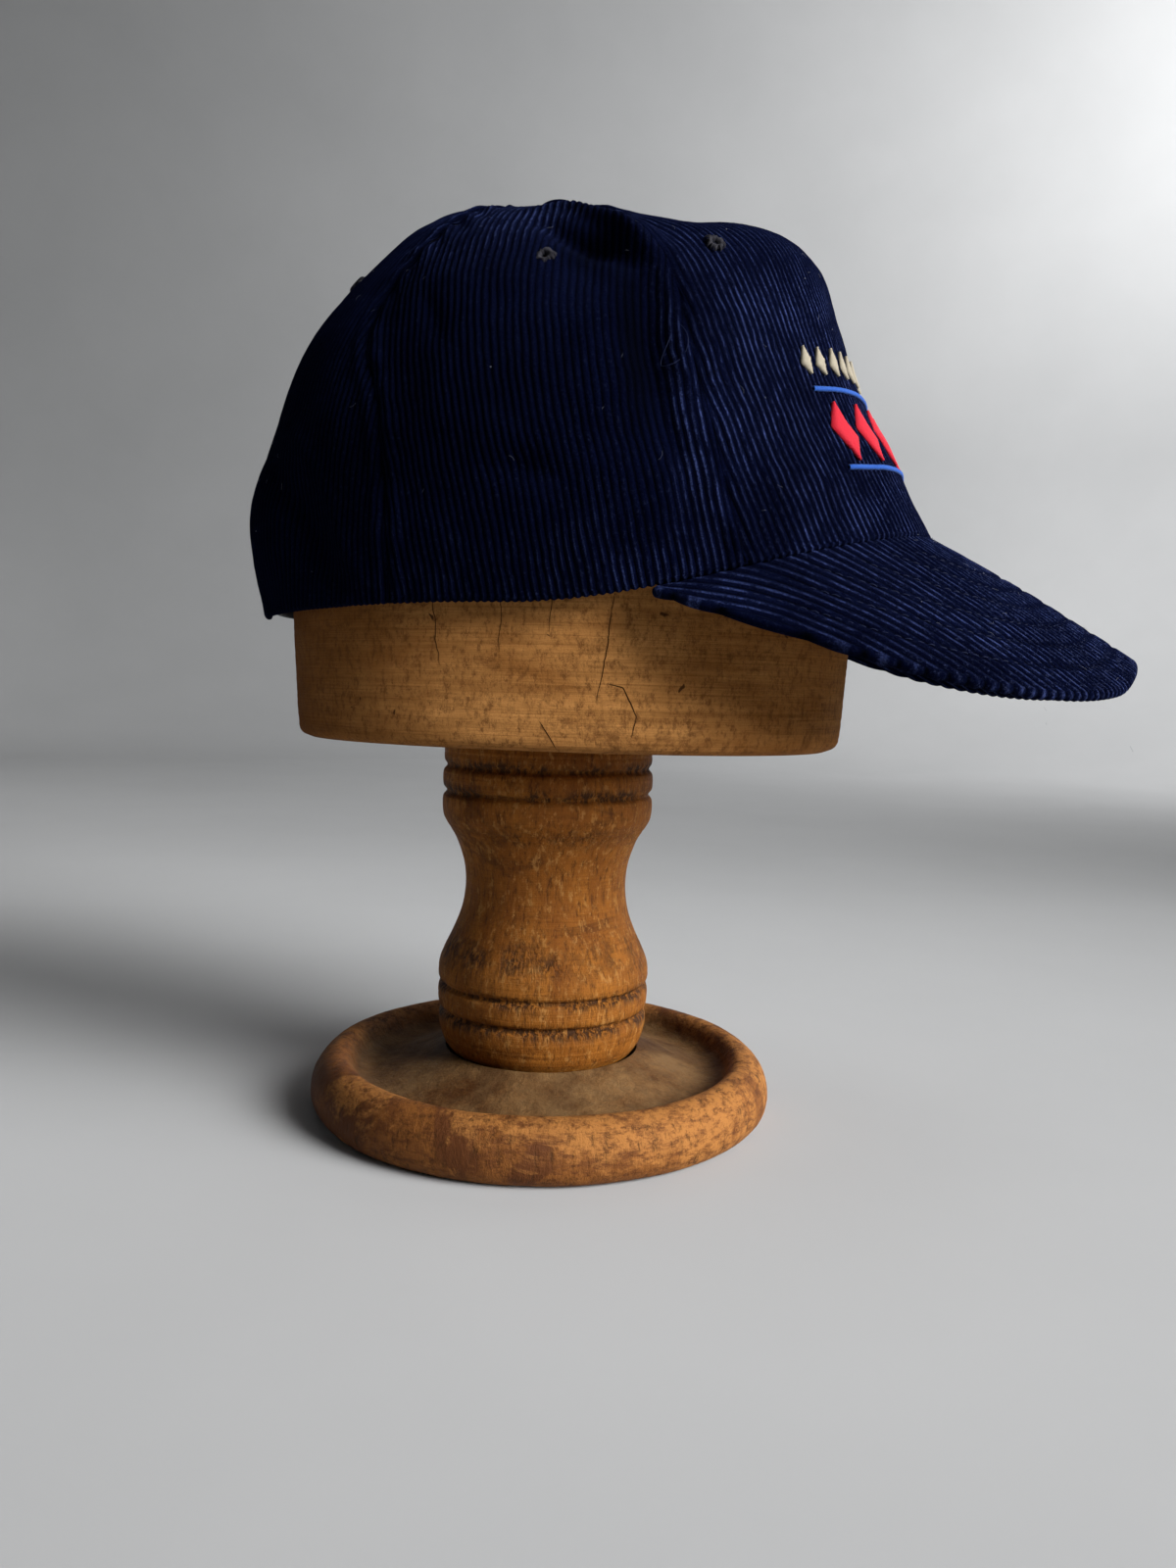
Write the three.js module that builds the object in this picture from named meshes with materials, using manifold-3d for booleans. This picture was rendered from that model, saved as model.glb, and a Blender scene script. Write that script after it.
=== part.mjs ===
// A corduroy trucker cap resting on a turned wooden hat stand.
//
// Millimetres, +Z up. The origin is the middle of the foot's flat underside, on the axis of
// the turned stand. +X is forward, where the brim points, and +Y is the wearer's left.
import * as THREE from "three";
import Module from "manifold-3d";
import { mergeVertices } from "three/addons/utils/BufferGeometryUtils.js";

const wasm = await Module();
wasm.setup();

// ---- Driving dimensions ------------------------------------------------------------

const SEAT_GAP = 0.3; // between pieces that lie on each other
const CLOTH = 2.0; // corduroy with its backing
const BRIM_BOARD = 3.0; // brim board between two layers of corduroy
const SEAM_HALF_GAP = 0.15; // each panel stops this far short of a seam's middle

const BLOCK_BOTTOM = 128.5; // underside of the oval hat block
const BLOCK_CENTRE_X = 6.5; // the block sits this far forward of the pillar's axis
const BLOCK_SQUARENESS = 2.2;

// Crown sections from the rim (up 0) to the button (up 1). centre is the section's middle
// along X; front, side and back are its reaches from there, each with its own height.
const CROWN_ROWS = [
  { up: 0.0, centre: 10, front: 115.5, frontZ: 196.5, side: 84, sideZ: 170.3, back: 109, backZ: 166 },
  { up: 0.2, centre: 10, front: 105, frontZ: 216, side: 83, sideZ: 197, back: 115, backZ: 205 },
  { up: 0.4, centre: 10, front: 92, frontZ: 240.5, side: 83, sideZ: 223.5, back: 106, backZ: 228 },
  { up: 0.6, centre: 10, front: 82, frontZ: 268, side: 77, sideZ: 251, back: 95, backZ: 255 },
  { up: 0.74, centre: 10, front: 76, frontZ: 281, side: 68, sideZ: 270, back: 75, backZ: 279 },
  { up: 0.85, centre: 8, front: 69, frontZ: 287.5, side: 55, sideZ: 283, back: 53, backZ: 298 },
  { up: 0.93, centre: 4, front: 54, frontZ: 290.5, side: 34, sideZ: 295.5, back: 31, backZ: 305 },
  { up: 1.0, centre: -1, front: 0, frontZ: 302.5, side: 0, sideZ: 302.5, back: 0, backZ: 302.5 },
];
const CROWN_SQUARENESS = 2.12; // 2 is an ellipse
const FRONT_LIFT = 2.3; // how late the rim lifts to the front, as a power of the cosine
const BACK_LIFT = 2.0;

// Seams between the five panels, in degrees from the front, the same on both sides.
const SEAM_ROWS = [
  { up: 0.0, front: 46, rear: 112.5 },
  { up: 0.22, front: 49, rear: 114 },
  { up: 0.42, front: 52.5, rear: 117 },
  { up: 0.55, front: 54.5, rear: 123 },
  { up: 0.67, front: 56.5, rear: 124.5 },
  { up: 0.78, front: 62, rear: 119.5 },
  { up: 1.0, front: 68, rear: 116 },
];

// Dents (out below 0) and swellings (out above 0) of the soft crown, the same on both sides.
// turn is in degrees from the front; turnWidth and upWidth are where the fold fades to 1/e.
const FOLD_ROWS = [
  { fold: "hollow behind the shoulder", turn: 75, up: 0.69, turnWidth: 9, upWidth: 0.07, out: -3.5 },
  { fold: "trough beside the front seam", turn: 62, up: 0.51, turnWidth: 5.5, upWidth: 0.14, out: -2.7 },
  { fold: "shoulder ridge over the front seam", turn: 62, up: 0.78, turnWidth: 6, upWidth: 0.09, out: 2.6 },
  { fold: "dip ahead of the button", turn: 42, up: 0.89, turnWidth: 14, upWidth: 0.07, out: -2.2 },
  { fold: "pucker of the rear seam", turn: 123, up: 0.66, turnWidth: 5, upWidth: 0.1, out: -1.5 },
  { fold: "crease into the slack", turn: 131, up: 0.18, turnWidth: 8, upWidth: 0.13, out: -3.0 },
  { fold: "slack beside the arch", turn: 150, up: 0.13, turnWidth: 10, upWidth: 0.12, out: 2.0 },
];

// The arch cut out of the two back panels, over the adjuster strap.
const ARCH_HALF_TURN = 19.5; // degrees at the rim
const ARCH_UP = 0.31; // top of the arch, as a fraction of the crown's height

// Panel rings; the first ones follow the arch.
const RING_UPS = [
  ...[0, 15, 30, 45, 60, 75].map((step) => ARCH_UP * Math.sin(THREE.MathUtils.degToRad(step))),
  ARCH_UP, 0.38, 0.46, 0.54, 0.62, 0.69, 0.75, 0.81, 0.86, 0.91, 0.95, 0.994,
];
const FRONT_COLUMNS = 16;
const SIDE_COLUMNS = 11;
const BACK_COLUMNS = 10;

// Brim. Its edge turns around a point on the centre line from the front (turn 0) to the
// corners, where it meets the rim again.
const BRIM_CORNER_TURN = 60; // degrees of the crown's rim that the brim reaches to
const BRIM_LEDGE = 1.6; // width of the root tucked under the crown's wall
const BRIM_GAP = 0.4; // under the crown's bottom edge
const BRIM_CENTRE_X = 85;
const BRIM_TIP_X = 187;
const BRIM_HALF_WIDTH = 85;
const BRIM_REAR_REACH = 95;
const BRIM_EDGE_TURN = 108;
const BRIM_SQUARENESS = 2;
const BRIM_HUMP = 1.2; // the board's rise above a straight line from root to edge
const BRIM_COLUMNS = 26;
const BRIM_STEPS = 7;
// Heights of the edge from the tip (turn 0) to the corner (turn 1); the first row mirrors
// the third, so that the crest is round.
const BRIM_EDGE_ROWS = [
  { turn: -0.1, z: 156.5 },
  { turn: 0.0, z: 160 },
  { turn: 0.1, z: 156.5 },
  { turn: 0.2, z: 151.6 },
  { turn: 0.4, z: 150 },
  { turn: 0.6, z: 154.6 },
  { turn: 0.8, z: 164.6 },
  { turn: 1.0, z: 175 },
];

const BUTTON_RADIUS = 8.5;
const BUTTON_HEIGHT = 6.5;
const BUTTON_LIP = 1; // the button narrows by this much at its underside
const BUTTON_FLAT = 0.6; // radius of the flat spot on top
const BUTTON_STEPS = [0, 20, 40, 60, 75]; // degrees up the dome
const BUTTON_GAP = 1.2; // above the point where the panels meet

// One eyelet on each half panel of the front, and one on each other panel.
const EYELET_UP = 0.725;
const EYELET_ROWS = [
  { name: "eyelet_front", turn: 45, up: EYELET_UP },
  { name: "eyelet_side", turn: 84, up: EYELET_UP },
  { name: "eyelet_back", turn: 150, up: EYELET_UP },
];
const EYELET_RADIUS = 3.6;
const EYELET_HOLE_RADIUS = 1.3;
const EYELET_THICKNESS = 0.9;
const EYELET_CHAMFER = 0.4; // outer edge of the worked ring
const EYELET_ROUNDING = 0.3; // inner edge of the worked ring
const EYELET_SIDES = 16;
const EYELET_HOLE_SIDES = 10;
const EYELET_GAP = 0.6; // clears the curve of the cloth under it

const STRAP_HALF_TURN = 25; // degrees: it reaches past the arch on both sides
const STRAP_FROM_UP = 0.012;
const STRAP_TO_UP = 0.115;
const STRAP_THICKNESS = 1.8;
const STRAP_COLUMNS = 20;
const STRAP_GAP = 0.8; // to the inside of the back panels

// Hat block below the cap: half-length and half-width at each height.
const BLOCK_ROWS = [
  { z: BLOCK_BOTTOM, length: 88.5, width: 71 },
  { z: BLOCK_BOTTOM + 1.2, length: 91.3, width: 73.8 },
  { z: BLOCK_BOTTOM + 4, length: 92.5, width: 75 },
  { z: 150, length: 93.7, width: 76 },
  { z: 172, length: 95, width: 77 },
  { z: 205, length: 95, width: 76.5 },
];
// Above that the block follows the crown's inside at these clearances.
const BLOCK_TOP_ROWS = [
  { up: 0.54, clear: 9 },
  { up: 0.62, clear: 8.5 },
  { up: 0.69, clear: 8 },
  { up: 0.75, clear: 7 },
  { up: 0.81, clear: 5 },
  { up: 0.86, clear: 3.6 },
  { up: 0.91, clear: 2.2 },
  { up: 0.95, clear: 1.1 },
  { up: 0.994, clear: 0.35 },
];
const BLOCK_COLUMNS = 48;

// Turned pillar: radius at each height, with pairs of grooves near both ends.
const PILLAR_PROFILE = [
  { r: 32.6, z: 21.0 },
  { r: 34.6, z: 23.5 },
  { r: 36.2, z: 28.5 },
  { r: 36.4, z: 33.0 },
  { r: 35.0, z: 34.8 },
  { r: 36.6, z: 36.6 },
  { r: 36.8, z: 42.3 },
  { r: 35.4, z: 44.0 },
  { r: 36.8, z: 45.8 },
  { r: 36.7, z: 50.5 },
  { r: 35.2, z: 55.0 },
  { r: 32.0, z: 62.0 },
  { r: 29.4, z: 69.0 },
  { r: 28.1, z: 77.5 },
  { r: 28.8, z: 85.7 },
  { r: 31.5, z: 94.1 },
  { r: 34.9, z: 99.7 },
  { r: 36.3, z: 102.8 },
  { r: 36.5, z: 108.6 },
  { r: 35.1, z: 110.8 },
  { r: 36.4, z: 112.8 },
  { r: 36.4, z: 117.6 },
  { r: 35.1, z: 119.6 },
  { r: 36.1, z: 121.6 },
  { r: 36.1, z: 126.0 },
  { r: 35.4, z: BLOCK_BOTTOM - SEAT_GAP },
];
// Foot: a dished plate with a thick rolled rim; its floor rises to the pillar.
const FOOT_PROFILE = [
  { r: 74.0, z: 0.0 },
  { r: 77.5, z: 1.2 },
  { r: 79.8, z: 4.5 },
  { r: 80.2, z: 8.5 },
  { r: 79.2, z: 13.0 },
  { r: 76.4, z: 17.2 },
  { r: 72.6, z: 19.3 },
  { r: 69.4, z: 19.2 },
  { r: 67.0, z: 17.4 },
  { r: 64.4, z: 13.6 },
  { r: 58.5, z: 12.4 },
  { r: 48.0, z: 15.4 },
  { r: 38.0, z: 19.2 },
  { r: 34.0, z: 21.0 - SEAT_GAP },
];
const TURNED_SIDES = 36;
const BUTTON_SIDES = 20;

const COLOURS = {
  corduroy: { color: 0x1a1f33, roughness: 0.95, metalness: 0 },
  eyelet_thread: { color: 0x5b6070, roughness: 0.85, metalness: 0 },
  strap_plastic: { color: 0x14161f, roughness: 0.45, metalness: 0 },
  block_wood: { color: 0xa9794c, roughness: 0.7, metalness: 0 },
  turned_wood: { color: 0xa9682f, roughness: 0.6, metalness: 0 },
};

// ---- Shared functions ---------------------------------------------------------------

const radians = THREE.MathUtils.degToRad;

/** A table column read at x, through a smooth curve over the rows sorted by their key. */
function along(rows, key, column, x) {
  const last = rows.length - 1;
  const slope = (i) => {
    const a = rows[Math.max(i - 1, 0)];
    const b = rows[Math.min(i + 1, last)];
    return (b[column] - a[column]) / (b[key] - a[key]);
  };
  let i = 0;
  while (i < last - 1 && x > rows[i + 1][key]) i += 1;
  const width = rows[i + 1][key] - rows[i][key];
  const s = THREE.MathUtils.clamp((x - rows[i][key]) / width, 0, 1);
  const s2 = s * s;
  const s3 = s2 * s;
  return (
    (2 * s3 - 3 * s2 + 1) * rows[i][column] +
    (s3 - 2 * s2 + s) * width * slope(i) +
    (3 * s2 - 2 * s3) * rows[i + 1][column] +
    (s3 - s2) * width * slope(i + 1)
  );
}

/** Radius of an oval with the given squareness, in the direction of the angle. */
function ovalRadius(angle, length, width, squareness) {
  const across = Math.abs(Math.cos(angle) / length) ** squareness;
  const sideways = Math.abs(Math.sin(angle) / width) ** squareness;
  return (across + sideways) ** (-1 / squareness);
}

/** The crown's smooth outer surface, before its folds. */
function smoothCrown(angle, up) {
  const read = (column) => along(CROWN_ROWS, "up", column, up);
  const forward = Math.cos(angle) > 0;
  const reach = Math.max(read(forward ? "front" : "back"), 0.01);
  const side = Math.max(read("side"), 0.01);
  const r = ovalRadius(angle, reach, side, CROWN_SQUARENESS);
  const lift = Math.abs(Math.cos(angle)) ** (forward ? FRONT_LIFT : BACK_LIFT);
  const sideZ = read("sideZ");
  const z = sideZ + (read(forward ? "frontZ" : "backZ") - sideZ) * lift;
  return new THREE.Vector3(read("centre") + r * Math.cos(angle), r * Math.sin(angle), z);
}

/** Outward normal of the smooth crown. */
function crownNormal(angle, up) {
  const step = 1e-3;
  const high = Math.min(up + step, 1);
  const low = Math.max(up - step, 0);
  const across = smoothCrown(angle + step, up).sub(smoothCrown(angle - step, up));
  const upward = smoothCrown(angle, high).sub(smoothCrown(angle, low));
  return across.cross(upward).normalize();
}

/** How far the folds push the cloth out of the smooth surface. */
function foldOut(angle, up) {
  const turn = Math.abs(THREE.MathUtils.radToDeg(angle));
  return FOLD_ROWS.reduce((sum, row) => {
    const sideways = (turn - row.turn) / row.turnWidth;
    const upward = (up - row.up) / row.upWidth;
    return sum + row.out * Math.exp(-(sideways ** 2) - upward ** 2);
  }, 0);
}

/** A point of the crown, a given depth under its folded outer surface. */
function crownPoint(angle, up, depth = 0) {
  const out = foldOut(angle, up) - depth;
  return smoothCrown(angle, up).addScaledVector(crownNormal(angle, up), out);
}

/** Geometry from a list of points and a list of corner numbers. */
function meshOf(points, faces) {
  const geometry = new THREE.BufferGeometry();
  const numbers = points.flatMap((p) => p.toArray());
  geometry.setAttribute("position", new THREE.Float32BufferAttribute(numbers, 3));
  geometry.setIndex(faces);
  return geometry;
}

/** Closed solid between two equal grids of points; the first one is the outer side. */
function wall(outer, inner) {
  const rows = outer.length;
  const columns = outer[0].length;
  const points = [...outer.flat(), ...inner.flat()];
  const at = (side, i, j) => side * rows * columns + i * columns + j;
  const faces = [];
  const quad = (a, b, c, d) => faces.push(a, b, c, a, c, d);
  for (let i = 0; i < rows - 1; i += 1) {
    for (let j = 0; j < columns - 1; j += 1) {
      quad(at(0, i, j), at(0, i, j + 1), at(0, i + 1, j + 1), at(0, i + 1, j));
      quad(at(1, i, j), at(1, i + 1, j), at(1, i + 1, j + 1), at(1, i, j + 1));
    }
  }
  for (let j = 0; j < columns - 1; j += 1) {
    quad(at(0, 0, j), at(1, 0, j), at(1, 0, j + 1), at(0, 0, j + 1));
    quad(at(0, rows - 1, j), at(0, rows - 1, j + 1), at(1, rows - 1, j + 1), at(1, rows - 1, j));
  }
  const last = columns - 1;
  for (let i = 0; i < rows - 1; i += 1) {
    quad(at(0, i, 0), at(0, i + 1, 0), at(1, i + 1, 0), at(1, i, 0));
    quad(at(0, i, last), at(1, i, last), at(1, i + 1, last), at(0, i + 1, last));
  }
  return meshOf(points, faces);
}

/** Closed solid through stacked rings, each a loop of points, with flat ends. */
function stack(rings) {
  const sides = rings[0].length;
  const middle = (ring) => ring.reduce((sum, p) => sum.add(p), new THREE.Vector3()).divideScalar(sides);
  const points = [...rings.flat(), middle(rings[0]), middle(rings[rings.length - 1])];
  const bottom = rings.length * sides;
  const faces = [];
  for (let j = 0; j < sides; j += 1) {
    const next = (j + 1) % sides;
    for (let i = 0; i < rings.length - 1; i += 1) {
      const low = i * sides;
      const high = low + sides;
      faces.push(low + j, low + next, high + next, low + j, high + next, high + j);
    }
    const top = (rings.length - 1) * sides;
    faces.push(bottom, next, j, bottom + 1, top + j, top + next);
  }
  return meshOf(points, faces);
}

/** Solid of revolution from a profile that starts and ends on the axis. */
function turned(profile, sides = TURNED_SIDES) {
  const ends = [profile[0], profile[profile.length - 1]];
  const points = [
    new THREE.Vector2(0, ends[0].z),
    ...profile.map((p) => new THREE.Vector2(p.r, p.z)),
    new THREE.Vector2(0, ends[1].z),
  ];
  return new THREE.LatheGeometry(points, sides).rotateX(Math.PI / 2);
}

/** A manifold-3d solid with the shape of a geometry. */
function solidOf(geometry) {
  const bare = geometry.clone();
  bare.deleteAttribute("normal");
  bare.deleteAttribute("uv");
  const merged = mergeVertices(bare);
  const vertProperties = merged.attributes.position.array;
  const triVerts = new Uint32Array(merged.index.array);
  return new wasm.Manifold(new wasm.Mesh({ numProp: 3, vertProperties, triVerts }));
}

/** The first geometry with the others cut out of it. */
function cutOut(geometry, cutters) {
  const cut = cutters.reduce((solid, cutter) => solid.subtract(solidOf(cutter)), solidOf(geometry));
  const mesh = cut.getMesh();
  const result = new THREE.BufferGeometry();
  result.setAttribute("position", new THREE.Float32BufferAttribute(mesh.vertProperties, 3));
  result.setIndex(Array.from(mesh.triVerts));
  return result;
}

/** Turns a geometry made around +Z to stand on the crown, a height above its surface. */
function standOnCrown(geometry, angle, up, height) {
  const upright = new THREE.Vector3(0, 0, 1);
  const normal = crownNormal(angle, up);
  const place = crownPoint(angle, up, -height);
  return geometry
    .applyQuaternion(new THREE.Quaternion().setFromUnitVectors(upright, normal))
    .translate(place.x, place.y, place.z);
}

// ---- Pieces -------------------------------------------------------------------------

/** A crown panel between two seams, given as functions of up that return angles. */
function panel(fromSeam, toSeam, columns) {
  const grid = (depth) =>
    RING_UPS.map((up) => {
      const from = fromSeam(up);
      const to = toSeam(up);
      const radius = (angle) => {
        const p = smoothCrown(angle, up);
        return Math.hypot(p.x - along(CROWN_ROWS, "up", "centre", up), p.y);
      };
      const start = from + SEAM_HALF_GAP / radius(from);
      const end = to - SEAM_HALF_GAP / radius(to);
      return Array.from({ length: columns + 1 }, (_, j) =>
        crownPoint(start + ((end - start) * j) / columns, up, depth),
      );
    });
  return wall(grid(0), grid(CLOTH));
}

const frontSeam = (up) => radians(along(SEAM_ROWS, "up", "front", up));
const rearSeam = (up) => radians(along(SEAM_ROWS, "up", "rear", up));
/** The back panel's free edge: the arch, and above it the centre seam. */
const backEdge = (up) => {
  const open = Math.sqrt(Math.max(0, 1 - (up / ARCH_UP) ** 2));
  return Math.PI - radians(ARCH_HALF_TURN) * open;
};

/** Cylinder through the cloth where an eyelet sits. */
function eyeletHole(angle, up) {
  const depth = 4 * CLOTH;
  const radius = EYELET_HOLE_RADIUS;
  const hole = new THREE.CylinderGeometry(radius, radius, depth, EYELET_HOLE_SIDES);
  return standOnCrown(hole.rotateX(Math.PI / 2), angle, up, 0);
}

/** Worked ring around an eyelet's hole. */
function eyeletRing(angle, up) {
  const profile = [
    [EYELET_HOLE_RADIUS, 0],
    [EYELET_RADIUS, 0],
    [EYELET_RADIUS - EYELET_CHAMFER, EYELET_THICKNESS],
    [EYELET_HOLE_RADIUS + EYELET_ROUNDING, EYELET_THICKNESS],
    [EYELET_HOLE_RADIUS, 0],
  ].map(([r, z]) => new THREE.Vector2(r, z));
  const ring = new THREE.LatheGeometry(profile, EYELET_SIDES).rotateX(Math.PI / 2);
  return standOnCrown(ring, angle, up, EYELET_GAP);
}

/** Brim: a curved board whose root lies flat under the crown's bottom edge. */
function brim() {
  const corner = radians(BRIM_CORNER_TURN);
  const edgePoint = (a) => {
    const turn = radians(BRIM_EDGE_TURN) * a;
    const c = Math.cos(turn);
    const power = c > 0 ? 2 / BRIM_SQUARENESS : 1;
    const reach = c > 0 ? BRIM_TIP_X - BRIM_CENTRE_X : -BRIM_REAR_REACH;
    const x = BRIM_CENTRE_X + reach * Math.abs(c) ** power;
    const y = Math.sign(a) * BRIM_HALF_WIDTH * Math.abs(Math.sin(turn)) ** power;
    return new THREE.Vector3(x, y, along(BRIM_EDGE_ROWS, "turn", "z", Math.abs(a)));
  };
  const topRow = (b) =>
    Array.from({ length: BRIM_COLUMNS + 1 }, (_, j) => {
      const a = (2 * j) / BRIM_COLUMNS - 1;
      const rim = crownPoint(corner * a, 0, b < 0 ? BRIM_LEDGE : 0);
      rim.z -= BRIM_GAP;
      if (b < 0) return rim;
      const point = rim.lerp(edgePoint(a), b);
      point.z += BRIM_HUMP * 4 * b * (1 - b) * Math.cos(a * radians(90));
      return point;
    });
  const steps = Array.from({ length: BRIM_STEPS + 1 }, (_, i) => i / BRIM_STEPS);
  const top = [-1, ...steps].map(topRow);
  const bottom = top.map((row) => row.map((p) => p.clone().setZ(p.z - BRIM_BOARD)));
  return wall(bottom, top);
}

/** Covered button: a low dome over the point where the panels meet. */
function button() {
  const profile = BUTTON_STEPS.map((degrees) => ({
    r: BUTTON_RADIUS * Math.cos(radians(degrees)),
    z: BUTTON_LIP + (BUTTON_HEIGHT - BUTTON_LIP) * Math.sin(radians(degrees)),
  }));
  const rim = { r: BUTTON_RADIUS - BUTTON_LIP, z: 0 };
  return turned([rim, ...profile, { r: BUTTON_FLAT, z: BUTTON_HEIGHT }], BUTTON_SIDES);
}

/** Plain adjuster strap across the arch, against the inside of both back panels. */
function strap() {
  const rows = [STRAP_FROM_UP, RING_UPS[1], STRAP_TO_UP];
  const half = radians(STRAP_HALF_TURN);
  const grid = (depth) =>
    rows.map((up) =>
      Array.from({ length: STRAP_COLUMNS + 1 }, (_, j) => {
        const angle = Math.PI - half + (2 * half * j) / STRAP_COLUMNS;
        const folded = angle > Math.PI ? angle - 2 * Math.PI : angle;
        return crownPoint(folded, up, depth);
      }),
    );
  const nearFace = CLOTH + STRAP_GAP;
  return wall(grid(nearFace), grid(nearFace + STRAP_THICKNESS));
}

/** Oval block with a domed top that carries the cap. */
function hatBlock() {
  const angles = Array.from({ length: BLOCK_COLUMNS }, (_, j) => (2 * Math.PI * j) / BLOCK_COLUMNS);
  const lower = BLOCK_ROWS.map(({ z, length, width }) =>
    angles.map((angle) => {
      const r = ovalRadius(angle, length, width, BLOCK_SQUARENESS);
      return new THREE.Vector3(BLOCK_CENTRE_X + r * Math.cos(angle), r * Math.sin(angle), z);
    }),
  );
  const upper = BLOCK_TOP_ROWS.map(({ up, clear }) =>
    angles.map((angle) =>
      smoothCrown(angle, up).addScaledVector(crownNormal(angle, up), -CLOTH - clear),
    ),
  );
  return stack([...lower, ...upper]);
}

// ---- Assembly -----------------------------------------------------------------------

const object = new THREE.Group();

function add(name, geometry, finish) {
  const mesh = new THREE.Mesh(geometry, new THREE.MeshStandardMaterial(COLOURS[finish]));
  mesh.name = name;
  object.add(mesh);
}

const holesIn = (prefix, angles) =>
  EYELET_ROWS.filter((row) => row.name === prefix).flatMap((row) =>
    angles.map((sign) => eyeletHole(sign * radians(row.turn), row.up)),
  );

const front = panel((up) => -frontSeam(up), frontSeam, FRONT_COLUMNS);
add("front_panel", cutOut(front, holesIn("eyelet_front", [1, -1])), "corduroy");

const leftSide = panel(frontSeam, rearSeam, SIDE_COLUMNS);
add("side_panel_left", cutOut(leftSide, holesIn("eyelet_side", [1])), "corduroy");
const rightSide = panel((up) => -rearSeam(up), (up) => -frontSeam(up), SIDE_COLUMNS);
add("side_panel_right", cutOut(rightSide, holesIn("eyelet_side", [-1])), "corduroy");

const leftBack = panel(rearSeam, backEdge, BACK_COLUMNS);
add("back_panel_left", cutOut(leftBack, holesIn("eyelet_back", [1])), "corduroy");
const rightBack = panel((up) => -backEdge(up), (up) => -rearSeam(up), BACK_COLUMNS);
add("back_panel_right", cutOut(rightBack, holesIn("eyelet_back", [-1])), "corduroy");

add("brim", brim(), "corduroy");

const pole = smoothCrown(0, 1);
add("top_button", button().translate(pole.x, 0, pole.z + BUTTON_GAP), "corduroy");

for (const { name, turn, up } of EYELET_ROWS) {
  add(`${name}_left`, eyeletRing(radians(turn), up), "eyelet_thread");
  add(`${name}_right`, eyeletRing(-radians(turn), up), "eyelet_thread");
}

add("back_strap", strap(), "strap_plastic");
add("hat_block", hatBlock(), "block_wood");
add("pillar", turned(PILLAR_PROFILE), "turned_wood");
add("foot", turned(FOOT_PROFILE), "turned_wood");

export default object;
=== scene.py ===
"""A corduroy trucker cap resting on a turned wooden hat stand.

Metres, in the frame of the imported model: the origin is the middle of the foot's underside, +X is
forward, where the brim points, and +Y is the wearer's left. The sizes of the cap and the stand are
in millimetres and degrees, as such things are measured, and MM turns them into metres.
"""

import bpy
import numpy as np
from mathutils import Matrix, Vector


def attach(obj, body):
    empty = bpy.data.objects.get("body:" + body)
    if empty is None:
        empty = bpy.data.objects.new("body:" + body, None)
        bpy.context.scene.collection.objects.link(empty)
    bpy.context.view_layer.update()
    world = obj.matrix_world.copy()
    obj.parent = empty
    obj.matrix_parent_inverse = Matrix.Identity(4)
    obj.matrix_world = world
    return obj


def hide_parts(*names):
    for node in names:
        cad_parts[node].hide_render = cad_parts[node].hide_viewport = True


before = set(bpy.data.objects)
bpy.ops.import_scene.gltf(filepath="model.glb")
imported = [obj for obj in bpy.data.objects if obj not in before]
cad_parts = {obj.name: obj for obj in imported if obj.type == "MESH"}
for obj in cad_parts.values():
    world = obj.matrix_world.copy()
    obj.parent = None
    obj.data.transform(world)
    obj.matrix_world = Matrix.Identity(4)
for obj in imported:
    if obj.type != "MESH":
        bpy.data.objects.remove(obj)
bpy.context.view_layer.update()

BODY = "root"
MM = 0.001
MIRROR = np.array([1, -1, 1])  # swaps left and right

# ---- Camera -------------------------------------------------------------------------

CAMERA_DISTANCE = 0.4117  # level distance from the stand's axis
CAMERA_HEIGHT = 0.1473
CAMERA_AZIMUTH = np.radians(18)  # 0 looks along +Y
CAMERA_YAW = np.radians(1.95)  # it looks a little past the stand, to its right
CAMERA_DROP = np.radians(4.69)
CAMERA_ROLL = np.radians(1.6)
SENSOR = 36  # millimetres, on the long side of the picture
LENS = 27


def rotation(angle, axis):
    return Matrix.Rotation(angle, 4, axis)


def make_camera():
    """The camera: turned and dropped to look at the stand, rolled, and carried round its axis."""
    data = bpy.data.cameras.new("camera")
    data.sensor_width = SENSOR
    data.lens = LENS
    camera = bpy.data.objects.new("camera", data)
    place = Matrix.Translation(Vector((0, -CAMERA_DISTANCE, CAMERA_HEIGHT)))
    look = rotation(-CAMERA_YAW, "Z") @ rotation(np.pi / 2 - CAMERA_DROP, "X")
    camera.matrix_world = rotation(CAMERA_AZIMUTH, "Z") @ place @ look @ rotation(CAMERA_ROLL, "Z")
    bpy.context.scene.collection.objects.link(camera)
    bpy.context.scene.camera = camera


make_camera()

# ---- Sizes --------------------------------------------------------------------------


def table(columns, *rows):
    """Rows of values, each a dict that names them by the columns."""
    return [dict(zip(columns.split(), row)) for row in rows]


CLOTH = 2.0
BRIM_BOARD = 3.0
WALE = 2.25  # from one wale of the corduroy to the next
WALE_HEIGHT = 0.55
WALE_COLUMNS = 6  # mesh columns to a wale
TOP_UP = 0.99  # the panels end here, under the button
RIM_UP = 0.009  # the cloth turns under here, so that its rolled edge ends at the rim

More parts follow.
